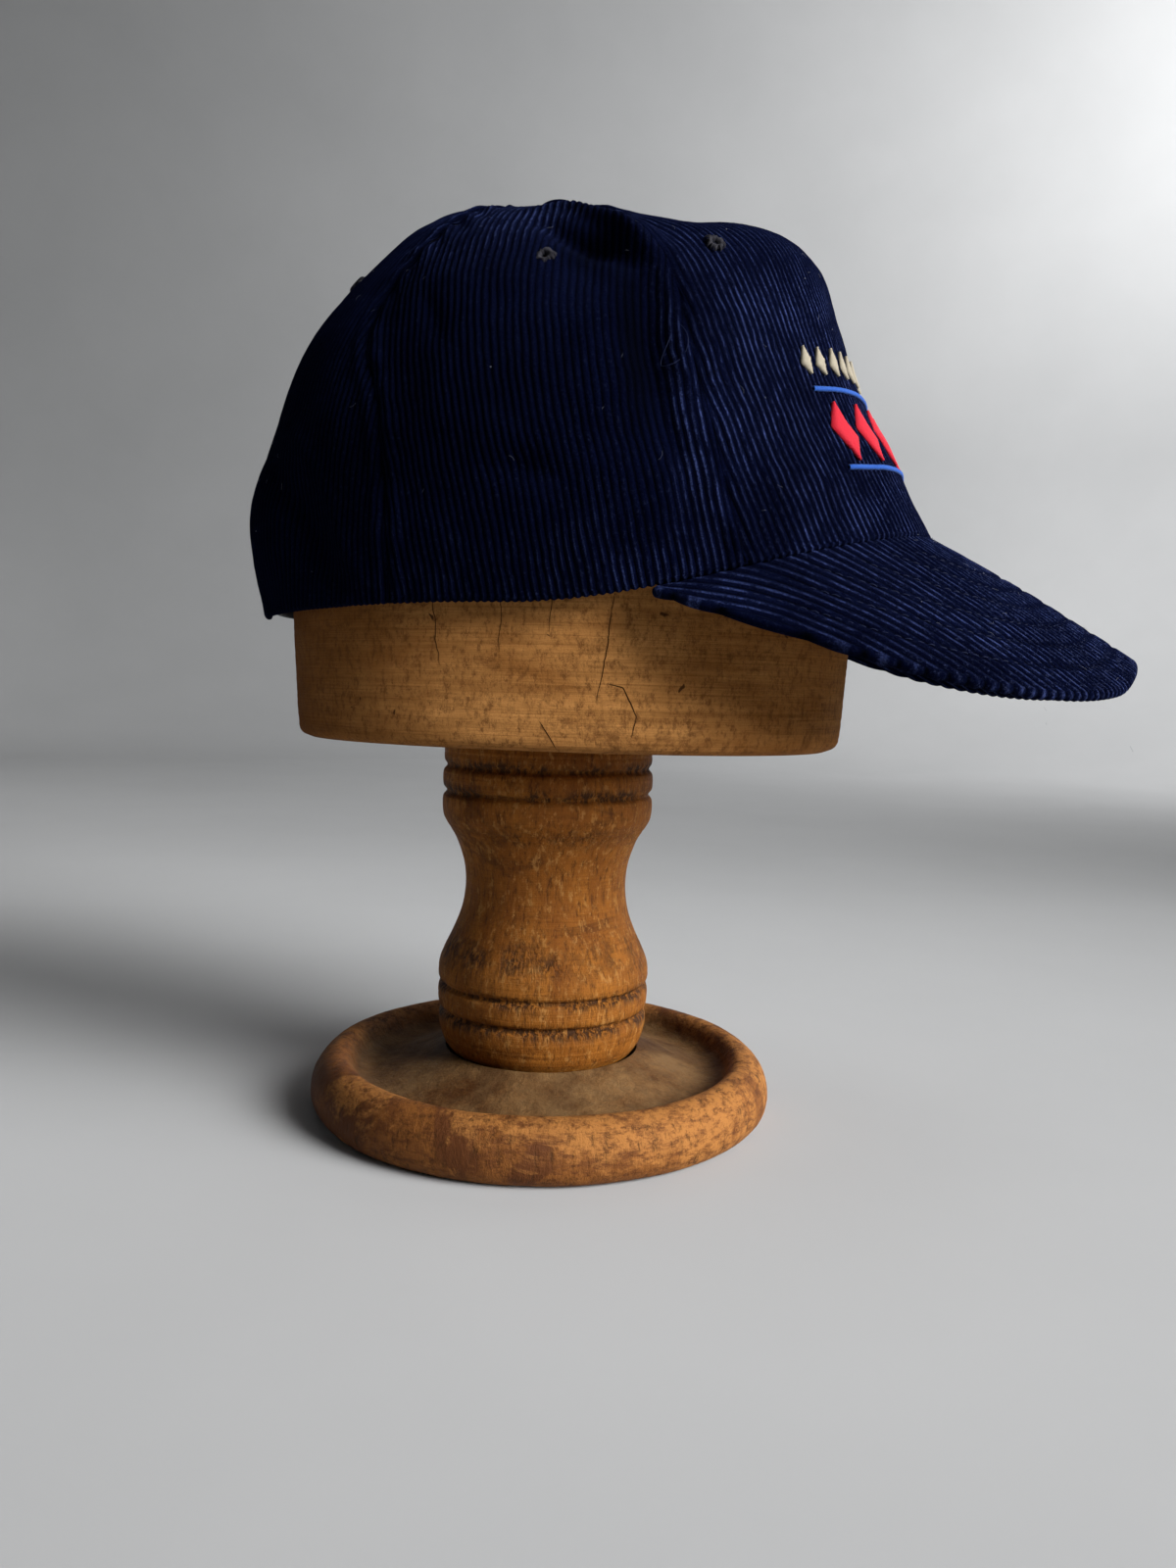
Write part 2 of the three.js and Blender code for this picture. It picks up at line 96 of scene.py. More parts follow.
# Crown sections from the rim (up 0) to the button (up 1). centre is the section's middle
# along X; front, side and back are its reaches from there, each with its own height.
CROWN_ROWS = table(
    "up centre front front_z side side_z back back_z",
    (0.0, 10, 115.5, 196.5, 84, 170.3, 109, 166),
    (0.2, 10, 105, 216, 83, 197, 115, 205),
    (0.4, 10, 92, 240.5, 83, 223.5, 106, 228),
    (0.6, 10, 82, 268, 77, 251, 95, 255),
    (0.74, 10, 76, 281, 68, 270, 75, 279),
    (0.85, 8, 69, 287.5, 55, 283, 53, 298),
    (0.93, 4, 54, 290.5, 34, 295.5, 31, 305),
    (1.0, -1, 0, 302.5, 0, 302.5, 0, 302.5),
)
CROWN_SQUARENESS = 2.12
FRONT_LIFT = 2.3
BACK_LIFT = 2.0

# Seams between the five panels, in degrees from the front, the same on both sides.
SEAM_ROWS = table(
    "up front rear",
    (0.0, 46, 112.5),
    (0.22, 49, 114),
    (0.42, 52.5, 117),
    (0.55, 54.5, 123),
    (0.67, 56.5, 124.5),
    (0.78, 62, 119.5),
    (1.0, 68, 116),
)

# Broad dents (out below 0) and swellings of the crown, the same on both sides.
FOLD_ROWS = table(
    "turn up turn_width up_width out",
    (75, 0.69, 9, 0.07, -3.5),  # hollow behind the shoulder
    (62, 0.51, 5.5, 0.14, -2.7),  # trough beside the front seam
    (62, 0.78, 6, 0.09, 2.6),  # shoulder ridge over the front seam
    (42, 0.89, 14, 0.07, -2.2),  # dip ahead of the button
    (123, 0.66, 5, 0.1, -1.5),  # pucker of the rear seam
    (131, 0.18, 8, 0.13, -3.0),  # crease into the slack
    (150, 0.13, 10, 0.12, 2.0),  # slack beside the arch
)

# Fine creases: lines over the crown through (degrees from the front, up), with how far the
# cloth stands out along them and how wide they are.
CREASE_ROWS = table(
    "width out line",
    (4, 1.4, [(148, 0.42), (135.5, 0.33), (129, 0.22), (123.5, 0.1), (115, 0.02)]),  # flare
    (6, -2.4, [(150, 0.3), (138, 0.2), (129, 0.09), (122, 0.02)]),  # slack
    (4, -1.1, [(94, 0.27), (84, 0.275), (74, 0.24)]),  # side dent
    (5.5, 0.7, [(96, 0.33), (86, 0.34), (75, 0.3)]),  # side swell
    (2.6, 2.2, [(96, 0.885), (84, 0.892), (75, 0.887), (69, 0.832), (65, 0.78), (61, 0.74),
                (56, 0.66)]),  # ridge
    (3.8, -3.4, [(88, 0.85), (83.8, 0.83), (78.5, 0.785), (72.8, 0.75), (67, 0.722), (62, 0.66)]),  # pocket
    (4.5, -2.0, [(61.5, 0.66), (61.5, 0.52), (60.8, 0.44), (60.3, 0.355), (58.8, 0.24)]),  # trough
    (3.6, -2.4, [(88, 0.965), (74, 0.945), (65, 0.88), (57, 0.79), (52, 0.73)]),  # behind the ridge
    (3, -0.9, [(60, 0.42), (56, 0.25), (54, 0.08)]),  # seam valley
    (1.5, 0.9, [(52.5, 0.4), (50.5, 0.3), (49, 0.2)]),  # raised seam
    (1.3, 0.9, [(48.4, 0.12), (47.2, 0.05), (46.2, -0.02)]),  # its end
    (3, -0.8, [(112, 0.66), (107, 0.6), (103, 0.52)]),  # rear pleat
)

# Painted light and shade on patches of the crown, the same on both sides: the pile's tone is scaled down
# there as painted shade (less above 0) or up as a painted highlight (less below 0). lean: degrees that the
# middle turns back for each 1 of up.
PAINTED_LIGHT_ROWS = table(
    "turn up turn_width up_width lean less",
    (90, 0.42, 20, 0.27, 0, 0.48),  # side
    (64.2, 0.5, 4.4, 0.26, 8, 0.8),  # trough
    (74, 0.74, 9, 0.07, 0, 0.8),  # pocket
    (57.8, 0.5, 1.9, 0.28, 13, -0.2),  # beside the trough
    (100, 0.84, 26, 0.1, 0, -0.13),  # shoulder
    (20, 0.8, 36, 0.14, 0, 0.1),  # front top
    (150, 0.3, 28, 0.45, 0, 0.5),  # rear
)

ARCH_HALF_TURN = 19.5
ARCH_UP = 0.31

# The brim: its root lies under the rim, its edge is one curve from corner to corner.
BRIM_CORNER_TURN = 60
BRIM_GAP = 0.4
BRIM_CENTRE_X = 85
BRIM_TIP_X = 187
BRIM_HALF_WIDTH = 85
BRIM_REAR_REACH = 95
BRIM_EDGE_TURN = 108
BRIM_HUMP = 1.2
BRIM_EDGE_ROWS = table(
    "turn z",
    (-0.1, 156.5), (0.0, 160), (0.1, 156.5), (0.2, 151.6),
    (0.4, 150), (0.6, 154.6), (0.8, 164.6), (1.0, 175),
)

EYELET_UP = 0.725
EYELET_ROWS = table("name turn", ("eyelet_front", 45), ("eyelet_side", 84), ("eyelet_back", 150))

# ---- Curves and surfaces of the cap --------------------------------------------------


def along(rows, column, x):
    """A table column read at x, through a smooth curve over the rows' first column."""
    keys, values = np.array([(list(row.values())[0], row[column]) for row in rows], float).T
    before = np.maximum(np.arange(len(keys)) - 1, 0)
    after = np.minimum(np.arange(len(keys)) + 1, len(keys) - 1)
    slopes = (values[after] - values[before]) / (keys[after] - keys[before])
    i = np.clip(np.searchsorted(keys, x) - 1, 0, len(keys) - 2)
    width = keys[i + 1] - keys[i]
    s = np.clip((x - keys[i]) / width, 0, 1)
    low = (2 * s**3 - 3 * s**2 + 1) * values[i] + (s**3 - 2 * s**2 + s) * width * slopes[i]
    high = (3 * s**2 - 2 * s**3) * values[i + 1] + (s**3 - s**2) * width * slopes[i + 1]
    return low + high


def unit(vectors):
    """The vectors along the last axis, each made one long."""
    return vectors / np.maximum(np.linalg.norm(vectors, axis=-1, keepdims=True), 1e-12)


def circle(count):
    """Angles spread evenly over a full turn."""
    return np.linspace(0, 2 * np.pi, count, endpoint=False)


def points_of(*columns):
    """Points from their coordinates, each an array or one number for all."""
    return np.stack(np.broadcast_arrays(*columns), axis=-1)


def around_axis(r, turns, z):
    """Points at a radius from the upright axis, a turn about it and a height."""
    return points_of(r * np.cos(turns), r * np.sin(turns), z)


def bump_at(distance, width):
    """1 on a line, fading out over the width."""
    return np.exp(-((distance / width) ** 2))


def oval_radius(angle, length, width, squareness):
    across = np.abs(np.cos(angle) / length) ** squareness
    sideways = np.abs(np.sin(angle) / width) ** squareness
    return (across + sideways) ** (-1 / squareness)


def smooth_crown(angle, up):
    """Points of the crown's smooth outer surface, in metres."""
    angle, up = np.broadcast_arrays(np.asarray(angle, float), np.asarray(up, float))
    forward = np.cos(angle) > 0
    read = {column: along(CROWN_ROWS, column, up) for column in CROWN_ROWS[0]}
    reach = np.maximum(np.where(forward, read["front"], read["back"]), 0.01)
    r = oval_radius(angle, reach, np.maximum(read["side"], 0.01), CROWN_SQUARENESS)
    lift = np.abs(np.cos(angle)) ** np.where(forward, FRONT_LIFT, BACK_LIFT)
    z = read["side_z"] + (np.where(forward, read["front_z"], read["back_z"]) - read["side_z"]) * lift
    return points_of(read["centre"] + r * np.cos(angle), r * np.sin(angle), z) * MM


def crown_normal(angle, up):
    """Outward normals of the smooth crown."""
    step = 1e-3
    across = smooth_crown(angle + step, up) - smooth_crown(angle - step, up)
    upward = smooth_crown(angle, np.minimum(up + step, 1)) - smooth_crown(angle, np.maximum(up - step, 0))
    return unit(np.cross(across, upward))


def patch(row, turns, ups):
    """1 at the middle of a row's patch of the crown, fading out over its widths."""
    above = ups - row["up"]
    aside = turns - row["turn"] - row.get("lean", 0) * above
    return bump_at(aside, row["turn_width"]) * bump_at(above, row["up_width"])


def fold_out(angle, up):
    """How far the broad folds push the cloth out, in millimetres."""
    turns = np.abs(np.degrees(angle))
    return sum(row["out"] * patch(row, turns, up) for row in FOLD_ROWS)


def crown_point(angle, up, depth=0):
    """Points of the crown with its folds, a depth in millimetres under its outer surface."""
    out = (fold_out(angle, up) - depth) * MM
    return smooth_crown(angle, up) + crown_normal(angle, up) * out[..., None]


def front_seam(up):
    return np.radians(along(SEAM_ROWS, "front", up))


def rear_seam(up):
    return np.radians(along(SEAM_ROWS, "rear", up))


def centre_seam(up):
    return np.full(np.shape(up), np.pi)


def back_edge(up):
    """The back panel's free edge: the arch, and above it the centre seam."""
    open_share = np.sqrt(np.maximum(0, 1 - (up / ARCH_UP) ** 2))
    return np.pi - np.radians(ARCH_HALF_TURN) * open_share


def run_of(line):
    """How far each point of a line is from its start, along it."""
    return np.concatenate([[0], np.cumsum(np.linalg.norm(np.diff(line, axis=0), axis=1))])


def points_along(line, places):
    """Points of a line at places measured along it."""
    run = run_of(line)
    return points_of(*(np.interp(places, run, column) for column in line.T))


def evenly(line, gap):
    """Points of a line about the gap apart."""
    length = run_of(line)[-1]
    return points_along(line, np.linspace(0, length, int(length / gap)))


def drawn(corners, count):
    """The coordinates of points spread over a path through a few corners."""
    columns = np.array(corners, float).T
    share = np.linspace(0, len(corners) - 1, count)
    return [np.interp(share, np.arange(len(corners)), column) for column in columns]


def nearest_on_line(points, line):
    """For each point its distance to a line, how far along the line that is, and as a share."""
    flat = points.reshape(-1, points.shape[-1])
    best = np.full(len(flat), np.inf)
    place = np.zeros(len(flat))
    start = 0.0
    for a, b in zip(line[:-1], line[1:]):
        run = b - a
        length = np.linalg.norm(run)
        share = np.clip((flat - a) @ run / length**2, 0, 1)
        distance = np.linalg.norm(flat - a - share[:, None] * run, axis=1)
        nearer = distance < best
        best[nearer] = distance[nearer]
        place[nearer] = start + share[nearer] * length
        start += length
    place = place.reshape(points.shape[:-1])
    return best.reshape(points.shape[:-1]), place, place / start


def lattice_noise(points, size, seed):
    """Smooth noise from -1 to 1 whose lumps are about the given size, the same on each run."""
    grid = points / size
    cell = np.floor(grid).astype(np.int64)
    s = grid - cell
    s = s * s * (3 - 2 * s)
    total = 0
    for corner in np.ndindex(2, 2, 2):
        corner = np.array(corner)
        x, y, z = np.moveaxis(cell + corner, -1, 0)
        mixed = (x * 73856093) ^ (y * 19349663) ^ (z * 83492791) ^ (seed * 2654435761)
        mixed = (mixed ^ (mixed >> 13)) * 1274126177
        value = ((mixed ^ (mixed >> 16)) & 0xFFFF) / 32767.5 - 1
        total = total + value * np.prod(np.where(corner == 1, s, 1 - s), axis=-1)
    return total


# ---- Meshes ---------------------------------------------------------------------------


def grid_faces(rows, columns, closed=False):
    """Quads over a grid of points stored row by row; closed joins its last column to its first."""
    i, j = np.meshgrid(np.arange(rows - 1), np.arange(columns if closed else columns - 1), indexing="ij")
    following = (j + 1) % columns
    corners = [i * columns + j, i * columns + following]
    corners += [(i + 1) * columns + following, (i + 1) * columns + j]
    return np.stack(corners, axis=-1).reshape(-1, 4)


def sheet(points, tone, closed=False, reverse=False):
    """A part from a grid of points and their tones, or one tone for all."""
    points = np.asarray(points)
    faces = grid_faces(*points.shape[:2], closed)
    return points, faces[:, ::-1] if reverse else faces, np.ravel(tone)


def mirrored(part):
    points, faces, values = part
    return points * MIRROR, faces[:, ::-1], values


def without_holes(part, centres, radius):
    """The part without the faces that lie within the radius of any of the centres."""
    points, faces, values = part
    middles = points.reshape(-1, 3)[faces].mean(axis=1)
    keep = np.ones(len(faces), bool)
    for centre in centres:
        keep &= np.linalg.norm(middles - centre, axis=1) > radius
    return points, faces[keep], values


def new_object(name, parts, material):
    """A smooth mesh object made of several parts.

    Each part is (points, faces, values); the values become the attribute "tone", which the
    materials read: how high a point lies in the pile, scaled by painted light and shade, or how
    dirty the wood is there, with painted shade in the pillar's grooves."""
    points, faces, values = [], [], []
    start = 0
    for part_points, part_faces, part_values in parts:
        points.append(part_points.reshape(-1, 3))
        faces.extend((part_faces + start).tolist())
        values.append(np.broadcast_to(part_values, len(points[-1])))
        start += len(points[-1])
    mesh = bpy.data.meshes.new(name)
    mesh.from_pydata(np.concatenate(points).tolist(), [], faces)
    tone = mesh.attributes.new("tone", "FLOAT", "POINT")
    tone.data.foreach_set("value", np.concatenate(values).astype(np.float32))
    mesh.shade_smooth()
    mesh.materials.append(material)
    made = bpy.data.objects.new(name, mesh)
    bpy.context.scene.collection.objects.link(made)
    return made


def add_piece(name, parts, material, replaced=()):
    """A piece that rides on the stand's body, in place of the CAD nodes that it replaces."""
    piece = new_object(name, parts, material)
    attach(piece, BODY)
    if replaced:
        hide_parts(*replaced)


def end_cap(sides, first, middle, reverse):
    """Quads from a ring of points, an even number, to the point in its middle."""
    j = np.arange(0, sides, 2)
    faces = np.stack([np.full(len(j), middle), first + j, first + j + 1, first + (j + 2) % sides], axis=-1)
    return faces[:, [0, 3, 2, 1]] if reverse else faces


def tube(line, radii, normals, sides=6, flatness=1.0, tone=0.5):
    """A closed tube along a line of points, its number of sides even. normals point out of
    what it lies on; flatness below 1 squashes it towards that."""
    ahead = unit(np.gradient(line, axis=0))
    across = unit(np.cross(normals, ahead))
    upward = np.cross(ahead, across)
    turns = circle(sides)[:, None]
    ring = across[:, None] * np.cos(turns) + upward[:, None] * (np.sin(turns) * flatness)
    points = (line[:, None] + ring * np.broadcast_to(radii, len(line))[:, None, None]).reshape(-1, 3)
    count = len(points)
    caps = [end_cap(sides, 0, count, True), end_cap(sides, count - sides, count + 1, False)]
    faces = np.concatenate([grid_faces(len(line), sides, closed=True), *caps])
    return np.concatenate([points, line[:1], line[-1:]]), faces, tone


def closing_disc(ring, upward):
    """A flat end of a solid, from a ring of its points to their middle."""
    faces = end_cap(len(ring), 0, len(ring), not upward)
    return np.concatenate([ring, [ring.mean(axis=0)]]), faces, 0.2


# ---- Materials ------------------------------------------------------------------------


class Nodes:
    """A material's node tree, written as one call for each node."""

    def __init__(self, name):
        self.material = bpy.data.materials.new(name)
        self.material.use_nodes = True
        self.tree = self.material.node_tree

    def set(self, socket, value):
        if isinstance(value, bpy.types.NodeSocket):
            self.tree.links.new(value, socket)
        else:
            socket.default_value = value

    def add(self, kind, settings=None, **inputs):
        """A node with its settings, and inputs that are values or other nodes' outputs."""
        node = self.tree.nodes.new("ShaderNode" + kind)
        for key, value in (settings or {}).items():
            setattr(node, key, value)
        for key, value in inputs.items():
            self.set(node.inputs[int(key[1:])] if key[1:].isdigit() else node.inputs[key], value)
        return node

    def shade(self, **inputs):
        """The material, with its shader's inputs set; _ stands for a space in their names."""
        for key, value in inputs.items():
            self.set(self.tree.nodes["Principled BSDF"].inputs[key.replace("_", " ")], value)
        return self.material

    def noise(self, scale, detail, roughness=0.5, stretch=(1, 1, 1), distortion=0.0):
        """Noise over the object's own coordinates; a stretch above 1 packs it closer along that axis."""
        place = self.add("Mapping", Vector=self.add("TexCoord").outputs["Object"], Scale=stretch).outputs[0]
        inputs = dict(Vector=place, Scale=scale, Detail=detail, Roughness=roughness, Distortion=distortion)
        return self.add("TexNoise", **inputs).outputs[0]

    def ramp(self, value, *stops):
        """A colour ramp with stops of a position and a grey."""
        node = self.add("ValToRGB", Fac=value)
        elements = node.color_ramp.elements
        for i, (position, grey) in enumerate(stops):
            element = elements[i] if i < len(elements) else elements.new(position)
            element.position = position
            element.color = (grey, grey, grey, 1)
        return node.outputs[0]

    def mix(self, share, first, second):
        node = self.add("Mix", dict(data_type="RGBA"), Factor=share)
        for socket, value in ((node.inputs[6], first), (node.inputs[7], second)):
            self.set(socket, value if isinstance(value, bpy.types.NodeSocket) else (*value, 1))
        return node.outputs[2]

    def stained(self, colour, *stains):
        """The colour under stains, each (its colour, a noise, and the stops of a ramp over that)."""
        for stain, noise, *stops in stains:
            colour = self.mix(self.ramp(noise, *stops), colour, stain)
        return colour

    def math(self, operation, first, second):
        return self.add("Math", dict(operation=operation), _0=first, _1=second).outputs[0]

    def times(self, first, second):
        return self.math("MULTIPLY", first, second)

    def plus(self, first, second):
        return self.math("ADD", first, second)

    def forward(self):
        """How far forward a point lies in the shared frame, in metres."""
        return self.add("SeparateXYZ", Vector=self.add("TexCoord").outputs["Object"]).outputs["X"]

    def tone(self):
        return self.add("Attribute", dict(attribute_name="tone")).outputs["Fac"]

    def bump(self, *layers):
        """A normal from layers of (height, distance in millimetres, strength), the lowest first."""
        under = {}
        for height, distance, strength in layers:
            node = self.add("Bump", Height=height, Distance=distance * MM, Strength=strength, **under)
            under = dict(Normal=node.outputs["Normal"])
        return under["Normal"]


# painted shade: the colour of the grooves between the wales
GROOVE_SHADE_COLOUR = (0.0001, 0.0002, 0.001)
DEEP_PILE_COLOUR = (0.0005, 0.001, 0.0075)
PILE_COLOUR = (0.0023, 0.004, 0.02)
# the tips of the wales: their wear and a painted highlight
WORN_AND_HIGHLIT_PILE_COLOUR = (0.052, 0.074, 0.22)
DUSTY_PILE_COLOUR = (0.05, 0.064, 0.15)
SHEEN_COLOUR = (0.1, 0.17, 0.6, 1)
BACKING_DARK = (0.004, 0.005, 0.02)
BACKING_PALE = (0.012, 0.015, 0.045)
STRAP_DARK = (0.006, 0.007, 0.013)
STRAP_PALE = (0.014, 0.016, 0.028)
# real dirt, pits and cracks on the block, and painted shade in the pillar's grooves
DIRT_AND_SHADE_COLOUR = (0.05, 0.02, 0.007)
BLOCK_PALE = (0.62, 0.29, 0.088)
BLOCK_BROWN = (0.37, 0.15, 0.038)
BLOCK_RED = (0.17, 0.06, 0.011)
BLOCK_STAIN = (0.12, 0.045, 0.013)
# painted shade on the block's rear end
BLOCK_REAR_SHADE = (0.085, 0.022, 0.002)
TURNED_ORANGE = (0.34, 0.125, 0.018)
TURNED_BROWN = (0.2, 0.063, 0.008)
TURNED_DARK = (0.075, 0.024, 0.005)
TURNED_WORN = (0.4, 0.19, 0.05)
FOOT_PALE = (0.38, 0.16, 0.042)
FOOT_TAN = (0.23, 0.085, 0.02)
FOOT_RED = (0.1, 0.034, 0.011)
FOOT_DARK = (0.045, 0.018, 0.006)
FOOT_DUST = (0.17, 0.1, 0.042)
STAGE_GREY = (0.4, 0.405, 0.41)
STAGE_PALE = (0.5, 0.505, 0.51)


def corduroy_material():
    """Cut pile: painted shade in the grooves, lighter and bluer tips of the wales, partly worn and
    partly a painted highlight, and greyer with dust towards the brim's tip."""
    nodes = Nodes("corduroy")
    tone = nodes.tone()
    patches = nodes.ramp(nodes.noise(30, 5, roughness=0.6, distortion=0.6), (0.38, 0.05), (0.64, 1.0))
    brushed = nodes.ramp(nodes.noise(240, 5, roughness=0.8, stretch=(1, 1, 0.3)), (0.42, 0.0), (0.58, 1.0))
    grain = nodes.ramp(nodes.noise(1900, 3, roughness=0.85), (0.41, 0.0), (0.59, 1.0))
    dust = nodes.ramp(nodes.noise(900, 4, roughness=0.85), (0.55, 0.0), (0.68, 0.8))
    dusty = nodes.times(dust, nodes.plus(nodes.ramp(nodes.forward(), (0.1, 0.0), (0.18, 1.0)), 0.28))
    shown = nodes.times(nodes.plus(nodes.times(grain, 0.85), 0.15), patches)
    pile = nodes.mix(shown, DEEP_PILE_COLOUR, PILE_COLOUR)
    # painted highlight and wear on the wales' tips, broken up by brushed patches
    crest = nodes.times(nodes.ramp(tone, (0.84, 0.0), (0.97, 1.0)), brushed)
    tips = nodes.times(crest, nodes.plus(nodes.times(grain, 0.8), 0.2))
    worn = nodes.mix(nodes.times(tips, nodes.plus(patches, 0.1)), pile, WORN_AND_HIGHLIT_PILE_COLOUR)
    caught = nodes.times(dusty, nodes.ramp(tone, (0.4, 0.3), (0.9, 1.0)))
    dusted = nodes.mix(caught, worn, DUSTY_PILE_COLOUR)
    # painted shade: the grooves between the wales go nearly black
    colour = nodes.mix(nodes.ramp(tone, (0.08, 0.0), (0.5, 1.0)), GROOVE_SHADE_COLOUR, dusted)
    normal = nodes.bump((nodes.noise(2600, 3), 0.25, 0.7), (grain, 0.4, 0.7))
    nodes.shade(Sheen_Weight=0.05, Sheen_Roughness=0.35, Sheen_Tint=SHEEN_COLOUR)
    return nodes.shade(Base_Color=colour, Roughness=0.95, Normal=normal, Specular_IOR_Level=0.01)


def backing_material():
    """The plain woven back of the corduroy, seen inside the cap."""
    nodes = Nodes("corduroy_back")
    place = nodes.add("TexCoord").outputs["Object"]
    weave = nodes.add("TexChecker", Vector=place, Scale=2200).outputs["Fac"]
    colour = nodes.mix(nodes.noise(160, 5), BACKING_DARK, BACKING_PALE)
    nodes.shade(Base_Color=colour, Roughness=0.9, Normal=nodes.bump((weave, 0.1, 0.6)))
    return nodes.shade(Specular_IOR_Level=0.2, Sheen_Weight=0.1)


def thread_material(name, colour, sheen):
    """Rayon thread: a twisted strand with a soft lengthwise gloss."""
    nodes = Nodes(name)
    strand = nodes.noise(2600, 3, roughness=0.6)
    darker = tuple(0.55 * c for c in colour)
    nodes.shade(Base_Color=nodes.mix(strand, darker, colour), Roughness=0.6, Specular_IOR_Level=0.12)
    return nodes.shade(Normal=nodes.bump((strand, 0.08, 0.6)), Sheen_Weight=sheen)


def strap_material():
    """Moulded plastic with faint flow marks and fine scratches."""
    nodes = Nodes("strap_plastic")
    flow = nodes.noise(70, 4)
    normal = nodes.bump((nodes.noise(900, 2, stretch=(0.2, 0.2, 1)), 0.03, 0.5))
    nodes.shade(Base_Color=nodes.mix(flow, STRAP_DARK, STRAP_PALE), Normal=normal)
    return nodes.shade(Roughness=nodes.ramp(flow, (0.3, 0.45), (0.7, 0.6)), Specular_IOR_Level=0.3)


def block_material():
    """Pale brown sanded block: level saw marks, small dark pits, ends redder partly by their own
    colour and partly as painted shade, and the rear end darker still as painted shade.
    """
    nodes = Nodes("block_wood")
    cloud = nodes.noise(17, 7, roughness=0.62, stretch=(1, 1, 1.5), distortion=0.4)
    streak = nodes.noise(70, 9, roughness=0.72, stretch=(0.3, 0.3, 5))
    saw = nodes.noise(190, 6, roughness=0.75, stretch=(0.07, 0.07, 9))
    speck = nodes.noise(480, 5, roughness=0.85, stretch=(1, 1, 0.6))
    # the redness of both ends is partly the wood's own colour and partly painted shade, the front one under
    # the brim; the rear end, away from the light, is also darkened as painted shade
    rear = nodes.ramp(nodes.times(nodes.forward(), -1.0), (0.01, 0.0), (0.085, 1.0))
    front = nodes.ramp(nodes.forward(), (0.04, 0.0), (0.1, 0.4))
    reddened_and_shaded = nodes.times(nodes.plus(rear, front), nodes.ramp(cloud, (0.3, 1.0), (0.65, 0.6)))
    light = nodes.stained(BLOCK_BROWN, (BLOCK_PALE, cloud, (0.38, 0.0), (0.62, 1.0)))
    reds = nodes.mix(reddened_and_shaded, light, BLOCK_RED)
    rear_shaded = nodes.mix(nodes.times(nodes.times(rear, rear), 0.85), reds, BLOCK_REAR_SHADE)
    blotch = nodes.noise(38, 6, roughness=0.75, distortion=1.2)
    pits = nodes.noise(300, 1, distortion=0.5)
    colour = nodes.stained(
        rear_shaded,
        (BLOCK_RED, streak, (0.36, 0.5), (0.6, 0.0)),
        (BLOCK_RED, saw, (0.34, 0.5), (0.5, 0.0)),
        (BLOCK_STAIN, speck, (0.36, 0.75), (0.52, 0.0)),
        (BLOCK_STAIN, blotch, (0.58, 0.0), (0.66, 0.55), (0.8, 0.75)),
        (DIRT_AND_SHADE_COLOUR, pits, (0.76, 0.0), (0.79, 0.9)),
    )
    nodes.shade(Base_Color=nodes.mix(nodes.tone(), colour, DIRT_AND_SHADE_COLOUR), Specular_IOR_Level=0.04)
    normal = nodes.bump((speck, 0.6, 0.8), (saw, 0.5, 0.7))
    return nodes.shade(Roughness=nodes.ramp(streak, (0.3, 0.7), (0.7, 0.9)), Normal=normal)


def turned_material():
    """Orange-brown turned wood, mottled across the grain, with darker and worn pale patches,
    torn grain, and painted shade in its grooves.
    """
    nodes = Nodes("turned_wood")
    grain = nodes.noise(60, 8, roughness=0.7, stretch=(1, 1, 0.5), distortion=0.6)
    scored = nodes.noise(150, 6, roughness=0.7, stretch=(0.12, 0.12, 8))
    pores = nodes.noise(700, 5, roughness=0.8, stretch=(1, 1, 0.22))
    patches = nodes.noise(34, 7, roughness=0.7, stretch=(0.7, 0.7, 1.5), distortion=0.9)
    flecks = nodes.noise(420, 3, roughness=0.8, stretch=(1, 1, 0.5))
    colour = nodes.stained(
        TURNED_BROWN,
        (TURNED_ORANGE, grain, (0.36, 0.0), (0.64, 1.0)),
        (TURNED_BROWN, scored, (0.35, 0.6), (0.52, 0.0)),
        (TURNED_DARK, pores, (0.34, 0.9), (0.5, 0.0)),
        (TURNED_DARK, patches, (0.54, 0.0), (0.64, 0.6)),
        (TURNED_WORN, flecks, (0.54, 0.0), (0.66, 0.75)),
    )
    tears = nodes.ramp(nodes.noise(620, 3, roughness=0.7, stretch=(1, 1, 0.3)), (0.42, 0.12), (0.56, 1.0))
    # the tone holds painted shade in the grooves as well as the torn grain; both darken the wood
    torn = nodes.times(nodes.tone(), tears)
    nodes.shade(Base_Color=nodes.mix(torn, colour, DIRT_AND_SHADE_COLOUR), Specular_IOR_Level=0.1)
    normal = nodes.bump((scored, 0.6, 0.8), (nodes.math("SUBTRACT", pores, torn), 0.7, 0.8))
    return nodes.shade(Roughness=nodes.ramp(grain, (0.3, 0.5), (0.7, 0.66)), Normal=normal)


